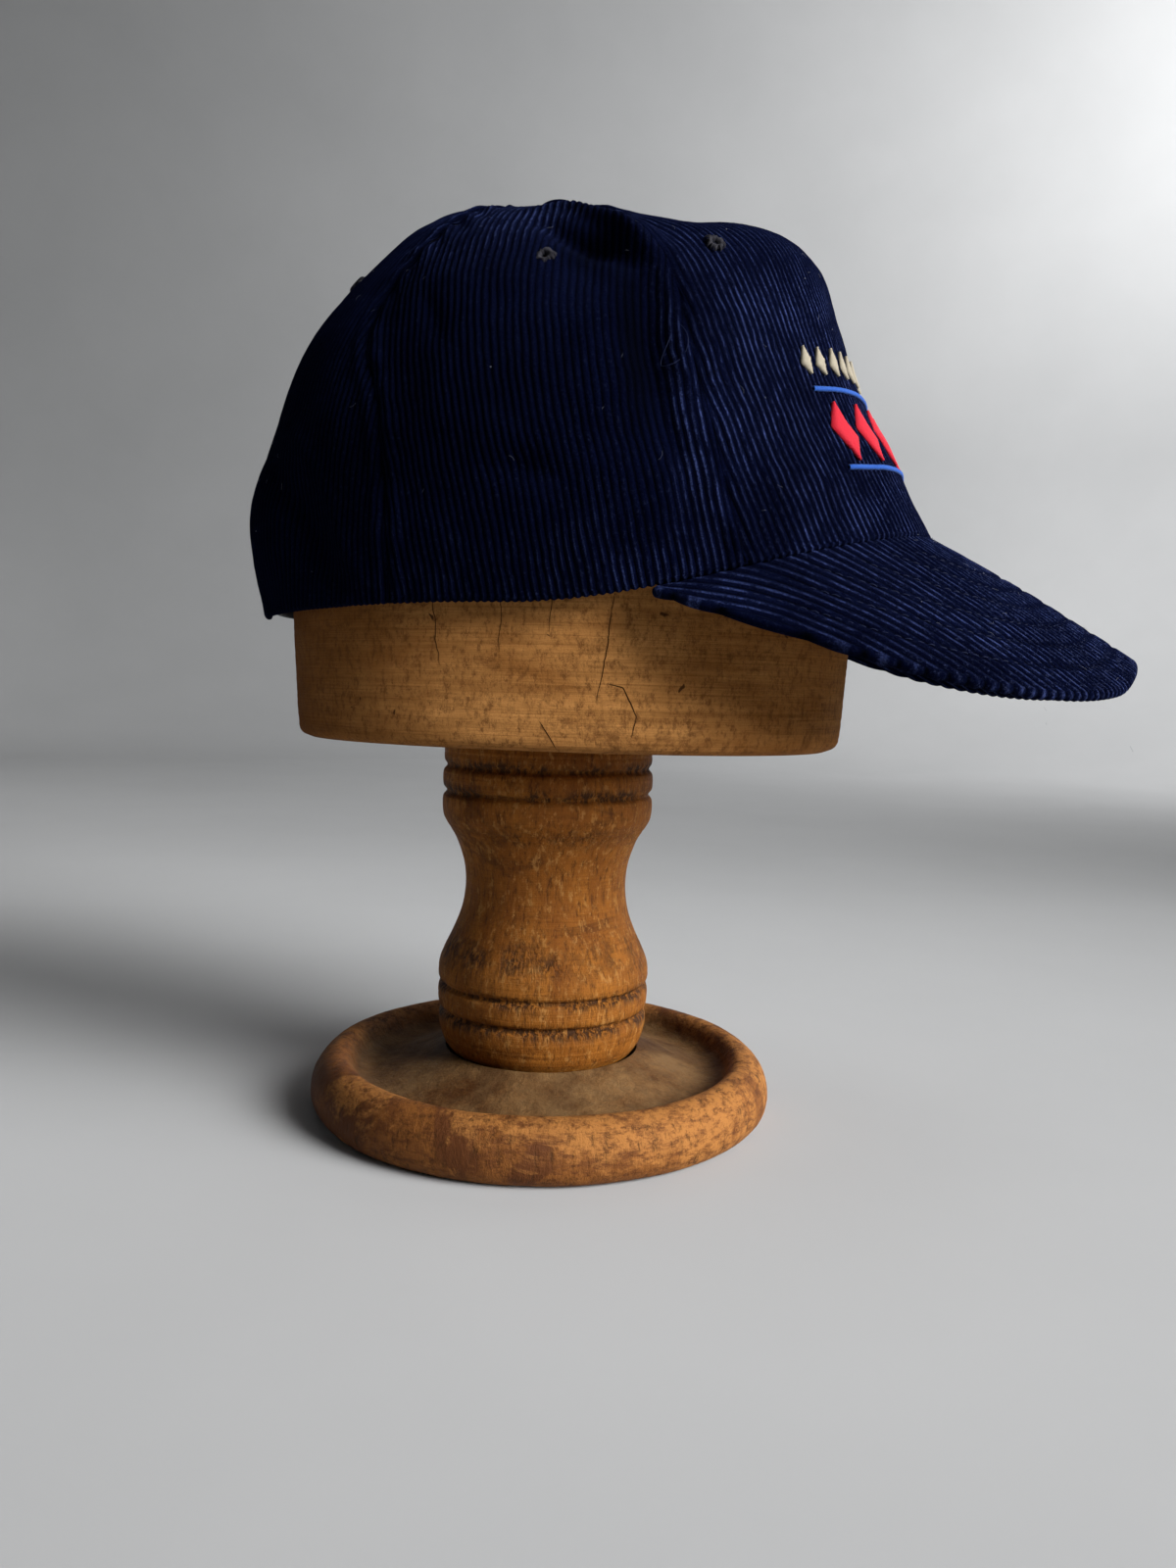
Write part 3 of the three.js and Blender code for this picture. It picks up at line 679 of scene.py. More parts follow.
def foot_material():
    """A turned board: slanting growth bands, red heartwood, a worn rim and dust in the dish."""
    nodes = Nodes("foot_wood")
    bands = nodes.noise(15, 5, stretch=(1.7, 0.4, 1.3), distortion=1.1)
    lines = nodes.noise(95, 6, roughness=0.7, stretch=(1, 0.14, 1.5), distortion=0.4)
    worn = nodes.noise(24, 9, roughness=0.72, stretch=(1, 0.8, 1), distortion=0.8)
    fibres = nodes.noise(560, 4, roughness=0.8, stretch=(0.35, 0.35, 1))
    chips = nodes.noise(330, 5, roughness=0.8, stretch=(1, 1, 0.35))
    colour = nodes.stained(
        FOOT_RED,
        (FOOT_TAN, bands, (0.43, 0.0), (0.47, 0.7), (0.6, 1.0)),
        (FOOT_RED, lines, (0.38, 0.5), (0.52, 0.0)),
        (FOOT_PALE, worn, (0.48, 0.0), (0.54, 0.7), (0.7, 0.9)),
        (FOOT_RED, fibres, (0.38, 0.85), (0.54, 0.0)),
        (FOOT_DARK, chips, (0.34, 0.8), (0.47, 0.0)),
    )
    dust = nodes.noise(40, 8, roughness=0.75)
    dusty = nodes.stained(FOOT_DARK, (FOOT_DUST, dust, (0.38, 0.0), (0.62, 1.0)))
    nodes.shade(Base_Color=nodes.mix(nodes.tone(), colour, dusty), Specular_IOR_Level=0.08)
    normal = nodes.bump((worn, 1.2, 0.6), (chips, 0.8, 0.9))
    return nodes.shade(Roughness=nodes.ramp(worn, (0.3, 0.5), (0.7, 0.72)), Normal=normal)


CORDUROY = corduroy_material()
BACKING = backing_material()
GREY_THREAD = thread_material("eyelet_thread", (0.028, 0.027, 0.036), sheen=0.03)
SEAM_THREAD = thread_material("seam_thread", (0.012, 0.018, 0.06), sheen=0.01)
RED_THREAD = thread_material("red_thread", (0.6, 0.01, 0.03), sheen=0.08)
BLUE_THREAD = thread_material("blue_thread", (0.018, 0.1, 0.45), sheen=0.08)
CREAM_THREAD = thread_material("cream_thread", (0.42, 0.37, 0.28), sheen=0.08)
LINT = thread_material("lint", (0.16, 0.17, 0.22), sheen=0.02)
STRAP_PLASTIC = strap_material()
BLOCK_WOOD = block_material()
TURNED_WOOD = turned_material()
FOOT_WOOD = foot_material()

# ---- Crown panels ---------------------------------------------------------------------

SEAM_TUCK = 0.35
SEAM_TUCK_WIDTH = 1.0
SEAM_PUFF = 0.5
SEAM_PUFF_PLACE = 3.4  # from the seam
SEAM_PUFF_WIDTH = 1.8
SEAM_FLAT_WIDTH = 0.7  # the pile is pressed flat this near a seam
PUCKER_PITCH = 10.5
PUCKER_WIDTH = 7
FRONT_PUCKER = 0.12
REAR_PUCKER = 0.75
EDGE_RADIUS = 1.15
EDGE_STEPS = 7
ARCH_STEPS = 110
HEM = 7.0
HEM_SHARES = (0.5, 1.0)
ROW_GAP = 1.45
RIM_COLUMN_GAP = 0.4
END_STEPS = np.array([0, 0.2, 0.5, 0.95, 1.5]) * MM
EYELET_CLEAR = 1.8  # radius of the hole left in the cloth under an eyelet
INSIDE_CLEAR = 3
INSIDE_ROWS = 60
INSIDE_COLUMNS = 40
SIDE_LEAN = np.radians(21)  # the side's wales lean back this far from the rim to the top
SIDE_MIDDLE = np.radians(85)
BACK_MIDDLE = np.radians(149)


class Panel:
    """A crown panel on the left of the cap or across its front, with the run of its wales.

    from_seam, to_seam and middle are functions of up that return angles; the wales run beside
    the middle line, WALE apart, whatever the seams do. seams holds pairs of a line and how
    strongly the cloth puckers along it."""

    def __init__(self, from_seam, to_seam, middle, seams):
        self.from_seam = from_seam
        self.to_seam = to_seam
        self.seams = seams
        self.ups = np.linspace(RIM_UP, TOP_UP, 260)
        start, end = from_seam(self.ups), to_seam(self.ups)
        self.angles = start[:, None] + (end - start)[:, None] * np.linspace(0, 1, 200)
        points = smooth_crown(self.angles, self.ups[:, None])
        steps = np.linalg.norm(np.diff(points, axis=1), axis=2)
        self.across = np.pad(np.cumsum(steps, axis=1), ((0, 0), (1, 0)))
        for i, angle in enumerate(middle(self.ups)):
            self.across[i] -= np.interp(angle, self.angles[i], self.across[i])
        self.rise = run_of(smooth_crown(middle(self.ups), self.ups))

    def crossing(self, inside, outside, column):
        """The height between two table rows at which a column leaves the panel."""
        room_in = min(column - self.across[inside, 0], self.across[inside, -1] - column)
        room_out = min(column - self.across[outside, 0], self.across[outside, -1] - column)
        share = room_in / max(room_in - room_out, 1e-9)
        return self.rise[inside] + (self.rise[outside] - self.rise[inside]) * share

    def grid(self, gap):
        """Angles, ups and cloth coordinates of a mesh whose columns run along the wales."""
        rows = int(self.rise[-1] / (ROW_GAP * MM))
        top = len(self.ups) - 1
        columns = []
        first, last = np.ceil(self.across.min() / gap), np.floor(self.across.max() / gap)
        for column in np.arange(first, last + 1) * gap:
            inside = np.flatnonzero((self.across[:, 0] <= column) & (self.across[:, -1] >= column))
            if len(inside) < 3:
                continue
            low, high = inside[0], inside[-1]
            start = self.rise[low] if low == 0 else self.crossing(low, low - 1, column)
            end = self.rise[high] if high == top else self.crossing(high, high + 1, column)
            length = end - start
            steps = END_STEPS * min(1, length / (6 * END_STEPS[-1]))
            middle = np.linspace(steps[-1], length - steps[-1], rows)
            rise = start + np.concatenate([steps[:-1], middle, length - steps[-2::-1]])
            here = [np.interp(column, a, b) for a, b in zip(self.across, self.angles)]
            up = np.interp(rise, self.rise, self.ups)
            columns.append((np.interp(up, self.ups, here), up, np.full(len(up), column)))
        return np.array(columns).transpose(1, 2, 0)

    def rows_at(self, up):
        """The table rows that lie nearest above points of the panel."""
        return np.clip(np.searchsorted(self.ups, up), 0, len(self.ups) - 1)

    def cloth_at(self, angle, up):
        """The cloth coordinate at points of the panel, which says where the wales lie."""
        pairs = zip(angle, self.rows_at(up))
        return np.array([np.interp(a, self.angles[i], self.across[i]) for a, i in pairs])


def wale_profile(cloth):
    """How high the pile stands, from 0 in the groove to 1 on the wale."""
    return np.abs(np.sin(np.pi * cloth / (WALE * MM)))


def seam_line(seam, up_from=0.0):
    ups = np.linspace(up_from, TOP_UP, 48)
    return smooth_crown(seam(ups), ups)


def crease_out(points):
    """How far the fine creases push the cloth out, in millimetres."""
    total = np.zeros(points.shape[:-1])
    for row in CREASE_ROWS:
        turn, up = drawn(row["line"], 24)
        distance, _, share = nearest_on_line(points, smooth_crown(np.radians(turn), up))
        ease = np.sin(np.pi * np.clip(share, 0, 1)) ** 0.6
        total = total + row["out"] * ease * bump_at(distance, row["width"] * MM)
    return total


def soft_out(smooth, angles, ups):
    """The folds, the creases and the slight unevenness of the cloth, in millimetres."""
    on_left = np.abs(smooth) * [0, 1, 0] + smooth * [1, 0, 1]
    uneven = 0.8 * lattice_noise(smooth, 24 * MM, 3) + 0.35 * lattice_noise(smooth, 9 * MM, 5)
    return fold_out(angles, ups) + crease_out(on_left) + uneven * np.clip((0.97 - ups) / 0.12, 0, 1)


def cloth_out(smooth, angles, ups, seams):
    """How far the cloth stands out of the smooth crown, and how much of its pile stands."""
    out = soft_out(smooth, angles, ups)
    standing = np.ones(out.shape)
    for number, (line, pucker) in enumerate(seams):
        distance, place, share = nearest_on_line(smooth, line)
        out = out - SEAM_TUCK * bump_at(distance, SEAM_TUCK_WIDTH * MM)
        out = out + SEAM_PUFF * bump_at(distance - SEAM_PUFF_PLACE * MM, SEAM_PUFF_WIDTH * MM)
        wave = np.sin(2 * np.pi * (place + 0.9 * distance) / (PUCKER_PITCH * MM) + number)
        fade = bump_at(distance, PUCKER_WIDTH * MM) * np.clip(4 * share - 1.8, 0.15, 1)
        out = out + pucker * wave * fade
        standing = standing * (1 - 0.7 * bump_at(distance, SEAM_FLAT_WIDTH * MM))
    return out, standing


def painted_light_share(angles, ups):
    """The share by which painted shade (below 1) and painted highlights (above 1) scale the pile's tone at
    points of the crown.
    """
    turns = np.degrees(np.abs(np.arctan2(np.sin(angles), np.cos(angles))))
    return np.prod([1 - row["less"] * patch(row, turns, ups) for row in PAINTED_LIGHT_ROWS], axis=0)


def panel_cloth(panel):
    """A panel's cloth with its wales, open where the eyelets are."""
    angles, ups, cloth = panel.grid(WALE * MM / WALE_COLUMNS)
    smooth = smooth_crown(angles, ups)
    out, standing = cloth_out(smooth, angles, ups, panel.seams)
    wander = 0.22 * WALE * MM * lattice_noise(smooth, 11 * MM, 8)
    wander = wander + 0.1 * WALE * MM * lattice_noise(smooth, 4 * MM, 9)
    wale = wale_profile(cloth + wander)
    worn = 0.8 + 0.14 * lattice_noise(smooth, 2.2 * MM, 13) + 0.1 * lattice_noise(smooth, 6 * MM, 14)
    out = out + WALE_HEIGHT * (wale * worn - 0.6) * standing
    points = smooth + crown_normal(angles, ups) * (out * MM)[..., None]
    # the tone: how high the pile stands, lower where it is pressed flat, times the painted light and shade
    # of the crown's patches
    tone = wale * (0.35 + 0.65 * standing) * painted_light_share(angles, ups)
    return without_holes(sheet(points, tone), EYELET_PLACES, EYELET_CLEAR * MM)


def rolled(line, normal, outward, radius, wale, steps):
    """Rows of points where cloth turns half round a line, and how high its pile stands."""
    height = WALE_HEIGHT * (wale - 0.6) * MM
    rows = []
    for turn in np.linspace(0, np.pi, steps):
        direction = normal * np.cos(turn) + outward * np.sin(turn)
        rows.append(line - normal * radius + direction * (radius + height)[:, None])
    return rows, height


def rolled_edge(panel, angles, ups):
    """The turned edge of the cloth along a free boundary, and the hem that lies inside it."""
    smooth = smooth_crown(angles, ups)
    normal = crown_normal(angles, ups)
    out, standing = cloth_out(smooth, angles, ups, panel.seams)
    line = smooth + normal * (out * MM)[:, None]
    outward = unit(np.cross(np.gradient(line, axis=0), normal))
    # how high the pile stands on the edge, times the painted light and shade of the crown's patches
    wale = wale_profile(panel.cloth_at(angles, ups)) * standing * painted_light_share(angles, ups)
    rows, height = rolled(line, normal, outward, EDGE_RADIUS * MM, wale, EDGE_STEPS)
    for share in HEM_SHARES:
        inside = line - normal * 2 * EDGE_RADIUS * MM - outward * HEM * share * MM
        rows.append(inside - normal * (0.3 * height)[:, None])
    return sheet(rows, [wale] * EDGE_STEPS + [0.5 * wale] * len(HEM_SHARES))


def rim_edge(panel):
    """Angles along the panel's part of the rim, and the up of each."""
    start, end = panel.from_seam(0), panel.to_seam(0)
    length = np.linalg.norm(smooth_crown(end, 0) - smooth_crown(start, 0)) * 1.15
    angles = np.linspace(start, end, int(length / (RIM_COLUMN_GAP * MM)))
    return angles, 0 * angles + RIM_UP


def back_rim_edge(panel):
    """Angles and ups along the rim and round the arch."""
    angles, ups = rim_edge(panel)
    turns = np.linspace(np.arcsin(RIM_UP / ARCH_UP), np.pi / 2, ARCH_STEPS)[1:]
    arch = np.pi - np.radians(ARCH_HALF_TURN) * np.cos(turns)
    return np.concatenate([angles, arch]), np.concatenate([ups, ARCH_UP * np.sin(turns)])


EYELET_PLACES = [crown_point(np.radians(row["turn"]), np.array(EYELET_UP)) for row in EYELET_ROWS]
FRONT_SEAM = (seam_line(front_seam), FRONT_PUCKER)
REAR_SEAM = (seam_line(rear_seam), REAR_PUCKER)
CENTRE_SEAM = (seam_line(centre_seam, up_from=ARCH_UP), FRONT_PUCKER)
RIGHT_FRONT_SEAM = (FRONT_SEAM[0] * MIRROR, FRONT_PUCKER)
FRONT = Panel(lambda up: -front_seam(up), front_seam, lambda up: 0 * up, [FRONT_SEAM, RIGHT_FRONT_SEAM])
SIDE = Panel(front_seam, rear_seam, lambda up: SIDE_MIDDLE + SIDE_LEAN * up, [FRONT_SEAM, REAR_SEAM])
BACK = Panel(rear_seam, back_edge, lambda up: BACK_MIDDLE + 0 * up, [REAR_SEAM, CENTRE_SEAM])


def add_cloth(name, parts):
    add_piece(f"{name}_cloth", parts, CORDUROY, [name])


def make_panels():
    """The cloth of each panel, with the edge turned in along its free boundary."""
    add_cloth("front_panel", [panel_cloth(FRONT), rolled_edge(FRONT, *rim_edge(FRONT))])
    for name, panel, edge in (("side_panel", SIDE, rim_edge), ("back_panel", BACK, back_rim_edge)):
        parts = [panel_cloth(panel), rolled_edge(panel, *edge(panel))]
        add_cloth(f"{name}_left", parts)
        add_cloth(f"{name}_right", [mirrored(part) for part in parts])


def make_crown_inside():
    """The woven back of the five panels, one thin sheet for each."""
    ups = np.linspace(0.004, TOP_UP, INSIDE_ROWS)[:, None]

    def inside(start, end, centres):
        angles = start(ups) + (end(ups) - start(ups)) * np.linspace(0, 1, INSIDE_COLUMNS)
        smooth = smooth_crown(angles, ups)
        out = soft_out(smooth, angles, ups + 0 * angles) - CLOTH
        points = smooth + crown_normal(angles, ups) * (out * MM)[..., None]
        return without_holes(sheet(points, 0.5, reverse=True), centres, INSIDE_CLEAR * MM)

    side = inside(front_seam, rear_seam, EYELET_PLACES)
    back = inside(rear_seam, back_edge, EYELET_PLACES)
    both_sides = EYELET_PLACES + [place * MIRROR for place in EYELET_PLACES]
    front = inside(FRONT.from_seam, front_seam, both_sides)
    add_piece("crown_inside", [side, mirrored(side), back, mirrored(back), front], BACKING)


# ---- Brim -----------------------------------------------------------------------------

BRIM_INSET = 1.2  # the rolled edge stands out again by about this much
BRIM_ROWS = 58
BRIM_CLOSE_SHARES = [0.004, 0.012, 0.988, 0.996]  # more rows, near the root and the edge
BRIM_ROOT_COLUMNS = 240
BRIM_ROLL_STEPS = 9
BRIM_ROLL_GAP = 0.4
BRIM_WALE_HEIGHT = 1.3 * WALE_HEIGHT
STITCH_LINES = [6.5, 13, 19.5, 26, 32.5, 39]  # distances in from the brim's edge
STITCH_DENT = 0.3
STITCH_DENT_WIDTH = 0.7
STITCH_PITCH = 3.1
STITCH_LENGTH = 2.6
STITCH_RADIUS = 0.11
STITCH_ARCH = np.array([-0.7, -0.32, -0.2, -0.32, -0.7]) * MM  # heights over the brim's top


def brim_edge(a):
    """The brim's edge from corner (-1) to corner (1), a little inside the nominal one."""
    turn = np.radians(BRIM_EDGE_TURN) * a
    c = np.cos(turn)
    ahead = BRIM_TIP_X - BRIM_CENTRE_X - BRIM_INSET
    x = BRIM_CENTRE_X + np.where(c > 0, ahead, -BRIM_REAR_REACH) * np.abs(c)
    y = (BRIM_HALF_WIDTH - BRIM_INSET) * np.sin(turn)
    return points_of(x, y, along(BRIM_EDGE_ROWS, "z", np.abs(a))) * MM


def brim_top(a, b):
    """The brim's upper surface, from the root (b 0) to the edge (b 1)."""
    a, b = np.broadcast_arrays(a, b)
    root = crown_point(np.radians(BRIM_CORNER_TURN) * a, 0 * a) - [0, 0, BRIM_GAP * MM]
    point = root + (brim_edge(a) - root) * b[..., None]
    hump = BRIM_HUMP * 4 * b * (1 - b) * np.cos(a * np.pi / 2)
    return point + hump[..., None] * [0, 0, MM]


def brim_shares(xy):
    """The (a, b) of points of the brim given by their x and y, by Newton's method."""
    a_grid, b_grid = np.meshgrid(np.linspace(-1, 1, 49), np.linspace(0, 1, 17))
    known = brim_top(a_grid, b_grid)[..., :2].reshape(-1, 2)
    flat = xy.reshape(-1, 2)
    nearest = []
    for block in np.array_split(flat, 60):
        nearest.append(np.argmin(np.linalg.norm(known[None] - block[:, None], axis=2), axis=1))
    nearest = np.concatenate(nearest)
    a, b = a_grid.ravel()[nearest], b_grid.ravel()[nearest]
    step = 1e-4
    for _ in range(6):
        here = brim_top(a, b)[:, :2]
        ax, ay = ((brim_top(a + step, b)[:, :2] - here) / step).T
        bx, by = ((brim_top(a, b + step)[:, :2] - here) / step).T
        x, y = (flat - here).T
        area = ax * by - ay * bx
        a = a + np.clip((x * by - y * bx) / area, -0.1, 0.1)
        b = b + np.clip((ax * y - ay * x) / area, -0.1, 0.1)
    return a.reshape(xy.shape[:-1]), b.reshape(xy.shape[:-1])


def brim_surface(xy):
    """Points of the upper surface over given x and y, and their upward normals."""
    a, b = brim_shares(xy)
    step = 1e-3
    by_a = brim_top(a + step, b) - brim_top(a - step, b)
    by_b = brim_top(a, b + step) - brim_top(a, b - step)
    normal = unit(np.cross(by_b, by_a))
    return brim_top(a, b), normal * np.sign(normal[..., 2:3])


def brim_outline():
    """The free outline in order, from the right corner of the root round to the left one."""
    steps = np.linspace(0, 1, 8)[:-1]
    right = brim_top(0 * steps - 1, steps)
    left = brim_top(0 * steps + 1, steps[::-1])
    return np.concatenate([right, brim_edge(np.linspace(-1, 1, 700)), left])


def brim_columns():
    """x and y of a grid whose columns run front to back along the wales."""
    root = brim_top(np.linspace(1, -1, BRIM_ROOT_COLUMNS), np.zeros(BRIM_ROOT_COLUMNS))
    loop = np.concatenate([brim_outline(), root])[:, :2]
    following = np.roll(loop, -1, axis=0)
    gap = WALE * MM / WALE_COLUMNS
    widest = int(loop[:, 1].max() / gap)
    share = np.sort(np.concatenate([np.linspace(0, 1, BRIM_ROWS), BRIM_CLOSE_SHARES]))
    grid = []
    for y in np.arange(-widest, widest + 1) * gap:
        crosses = (loop[:, 1] <= y) != (following[:, 1] <= y)
        a, b = loop[crosses], following[crosses]
        x = a[:, 0] + (b[:, 0] - a[:, 0]) * (y - a[:, 1]) / (b[:, 1] - a[:, 1])
        grid.append(points_of(x.min() + (x.max() - x.min()) * share, y))
    return np.array(grid).transpose(1, 0, 2)


def stitch_line(inset):
    """x and y of a row of stitches, the same distance in from the brim's edge all along."""
    edge = brim_edge(np.linspace(-0.86, 0.86, 200))[:, :2]
    ahead = unit(np.gradient(edge, axis=0))
    xy = edge + points_of(-ahead[:, 1], ahead[:, 0]) * inset * MM
    a, b = brim_shares(xy)
    return xy[(b > 0.1) & (np.abs(a) < 1)]


def make_brim(stitches):
    """The cloth over and under the brim's board, dented along its stitches."""
    xy = brim_columns()
    top, normal = brim_surface(xy)
    wander = 0.14 * WALE * MM * lattice_noise(top, 14 * MM, 21)
    wale = wale_profile(xy[..., 1] + wander)
    worn = 0.88 + 0.12 * lattice_noise(top, 2.2 * MM, 22)
    pile = BRIM_WALE_HEIGHT * (wale * worn - 0.6)
    dent = np.zeros(pile.shape)
    for line in stitches:
        dent = np.maximum(dent, bump_at(nearest_on_line(xy, line)[0], STITCH_DENT_WIDTH * MM))
    swell = 0.25 * lattice_noise(top, 22 * MM, 23)
    upper = top + normal * ((pile * (1 - 0.5 * dent) - STITCH_DENT * dent + swell) * MM)[..., None]
    lower = top - normal * ((BRIM_BOARD + pile - 0.3 * dent * pile) * MM)[..., None]
    tone = wale * (1 - 0.4 * dent)
    add_cloth("brim", [sheet(upper, tone, reverse=True), sheet(lower, tone), brim_roll(), brim_tuck()])


def brim_tuck():
    """The root of the brim's cloth, tucked up behind the rim of the crown."""
    share = np.linspace(-1, 1, BRIM_ROOT_COLUMNS)
    root = brim_top(share, 0 * share)
    inward = -crown_normal(np.radians(BRIM_CORNER_TURN) * share, 0 * share)
    rows = [brim_top(share, 0 * share + 0.04) - [0, 0, 0.6 * MM]]
    for reach, rise in ((0, -0.5), (0.8, 0.1), (2.5, 0.2), (2.9, 1.5), (3.0, 4.0)):
        rows.append(root + (inward * reach + [0, 0, rise]) * MM)
    return sheet(rows, 0.3)


def brim_roll():
    """The cloth turned round the edge of the board, its wales running over it."""
    line = evenly(brim_outline(), BRIM_ROLL_GAP * MM)
    _, normal = brim_surface(line[:, :2])
    outward = unit(np.cross(unit(np.gradient(line, axis=0)), normal))
    wale = wale_profile(line[:, 1])
    rows, _ = rolled(line, normal, outward, BRIM_BOARD / 2 * MM, wale, BRIM_ROLL_STEPS)
    return sheet(rows, [wale] * len(rows))


def make_brim_stitches(stitches):
    """Rows of single stitches, each a short thread lying in its dent."""
    parts = []
    for line in stitches:
        starts = np.arange(0, run_of(line)[-1] - STITCH_PITCH * MM, STITCH_PITCH * MM)
        places = starts[:, None] + np.linspace(0, STITCH_LENGTH * MM, len(STITCH_ARCH))
        points, normals = brim_surface(points_along(line, places))
        points = points + normals * STITCH_ARCH[:, None]
        parts += [tube(stitch, STITCH_RADIUS * MM, normal) for stitch, normal in zip(points, normals)]
    add_piece("brim_stitches", parts, SEAM_THREAD)

# ---- Small parts of the cap -----------------------------------------------------------

BUTTON_GAP = 1.2
BUTTON_DOME_RADIUS = 7.3
BUTTON_DOME_HEIGHT = 4.9
BUTTON_SKIRT = 3.4  # how far the sides reach down, and they stop short of that
BUTTON_SKIRT_LIFT = -60
BUTTON_SIDES = 150
BUTTON_RINGS = 26
EYELET_RADIUS = 3.1
EYELET_HOLE_RADIUS = 1.1
EYELET_WRAPS = 34
EYELET_THREAD = 0.2
STRAP_HALF_TURN = 25
STRAP_FROM_UP = 0.012
STRAP_TO_UP = 0.115
STRAP_THICKNESS = 1.8
STRAP_GAP = 0.8
STRAP_RIB = 0.25


def make_button():
    """Covered button: a low dome with the wales running front to back over it."""
    turns = circle(BUTTON_SIDES)
    skirt = np.linspace(BUTTON_SKIRT_LIFT, 0, 5)[:-1]
    lift = np.radians(np.concatenate([skirt, np.linspace(0, 88, BUTTON_RINGS)]))[:, None]
    r = (BUTTON_DOME_RADIUS * np.cos(lift) ** 0.8 + 0.2) * MM
    x, y = r * np.cos(turns), r * np.sin(turns)
    z = np.where(lift > 0, BUTTON_DOME_HEIGHT, BUTTON_SKIRT) * np.sin(lift) * MM + BUTTON_GAP * MM
    wale = wale_profile(y)
    direction = unit(points_of(x, y, 1.4 * np.maximum(z, 0)))
    place = crown_point(np.array(0.0), np.array(1.0)) + [0, 0, BUTTON_GAP * MM]
    points = points_of(x, y, z) + direction * (WALE_HEIGHT * (wale - 0.3) * MM)[..., None] + place
    count = wale.size
    cap = end_cap(BUTTON_SIDES, count - BUTTON_SIDES, count, False)
    faces = np.concatenate([grid_faces(*wale.shape, closed=True), cap])
    # painted shade: the button's cloth is kept dark, darkest down its skirt
    shade = np.clip(0.1 + np.linspace(0, 1, len(lift)), 0, 0.4)[:, None] * (0.7 + 0.3 * wale)
    middle = points[-1].mean(axis=0)
    part = (np.concatenate([points.reshape(-1, 3), [middle]]), faces, np.append(shade, 0.5))
    add_piece("button_cloth", [part], CORDUROY, ["top_button"])


def make_eyelet(name, angle):
    """A worked eyelet: thread wrapped round the edge of a small hole, a little unevenly."""
    up = np.array(EYELET_UP)
    place, normal = crown_point(angle, up), crown_normal(angle, up)
    sideways = unit(smooth_crown(angle + 1e-3, up) - smooth_crown(angle - 1e-3, up))
    upward = np.cross(normal, sideways)
    random = np.random.default_rng(int(abs(angle) * 1000))
    parts = []
    for number in range(EYELET_WRAPS):
        turn = 2 * np.pi * (number + random.uniform(-0.25, 0.25)) / EYELET_WRAPS
        out = sideways * np.cos(turn) + upward * np.sin(turn)
        along_hole = np.cross(normal, out)
        inner = EYELET_HOLE_RADIUS + random.uniform(-0.15, 0.1)
        outer = EYELET_RADIUS + random.uniform(-0.9, 0.3)
        lean = along_hole * random.uniform(-0.3, 0.3)
        reach = np.array([[inner + 0.1, inner, inner + 0.5, (inner + outer) / 2, outer - 0.4, outer]]).T
        height = np.array([[-0.9, 0.1, 0.75, 0.9, 0.6, -0.1]]).T
        line = place + (out * reach + normal * height + lean * (reach - inner) * 0.3) * MM
        parts.append(tube(line, EYELET_THREAD * MM, np.broadcast_to(along_hole, line.shape)))
    add_piece(name + "_thread", parts, GREY_THREAD, [name])


def make_eyelets():
    for row in EYELET_ROWS:
        for side, sign in (("left", 1), ("right", -1)):
            make_eyelet(f"{row['name']}_{side}", sign * np.radians(row["turn"]))


def rounded_cosine(angle, power):
    """A cosine whose swing is squared off by a power below 1."""
    return np.sign(np.cos(angle)) * np.abs(np.cos(angle)) ** power


def make_strap():
    """The adjuster strap: a moulded band with rounded edges and a shallow rib along each."""
    turns = np.linspace(-1, 1, 140) * np.radians(STRAP_HALF_TURN) + np.pi
    loop = circle(28)
    across = rounded_cosine(loop, 0.35)
    rib = STRAP_RIB * (bump_at(np.abs(across) - 0.8, 0.1) - 1)
    half = STRAP_THICKNESS / 2
    depth = CLOTH + STRAP_GAP + half - rounded_cosine(loop - np.pi / 2, 0.5) * (half + rib)
    up = (STRAP_FROM_UP + STRAP_TO_UP) / 2 + (STRAP_TO_UP - STRAP_FROM_UP) / 2 * across
    angles, ups = np.meshgrid(turns, up, indexing="ij")
    points = crown_point(angles, ups, np.broadcast_to(depth, angles.shape))
    band = sheet(points, 0.5, closed=True)
    add_piece("back_strap_band", [band], STRAP_PLASTIC, ["back_strap"])


# ---- Embroidery on the front panel ------------------------------------------------------

THREAD = 0.24
THREAD_PITCH = 0.4
THREAD_END = 0.15  # half the width of a lozenge at its points
EMBROIDERY_HALF_WIDTH = 46

# Rows of the pattern: up on the panel, half sizes of a lozenge, and the step between lozenges.
LOZENGE_ROWS = table(
    "name up half_width half_height step slant",
    ("small_lozenges", 0.447, 2.6, 4.4, 7.4, 0.35),
    ("large_lozenges", 0.287, 5.6, 9.6, 13.2, -0.3),
)
BAR_ROWS = table("name up height", ("upper_bar", 0.38, 1.5), ("lower_bar", 0.193, 1.5))


def on_front(across, up, height):
    """Points over the front panel: across is millimetres from its middle line along the cloth."""
    across, up, height = np.broadcast_arrays(across, up, height)
    pairs = zip(across.ravel() * MM, FRONT.rows_at(up.ravel()))
    angle = np.array([np.interp(s, FRONT.across[i], FRONT.angles[i]) for s, i in pairs]).reshape(up.shape)
    smooth = smooth_crown(angle, up)
    out, _ = cloth_out(smooth, angle, up, FRONT.seams)
    normal = crown_normal(angle, up)
    return smooth + normal * ((out + height) * MM)[..., None], normal


def up_step(up, distance):
    """The up that lies a distance in millimetres above another on the front panel."""
    rise = np.interp(up, FRONT.ups, FRONT.rise) + distance * MM
    return np.interp(rise, FRONT.rise, FRONT.ups)


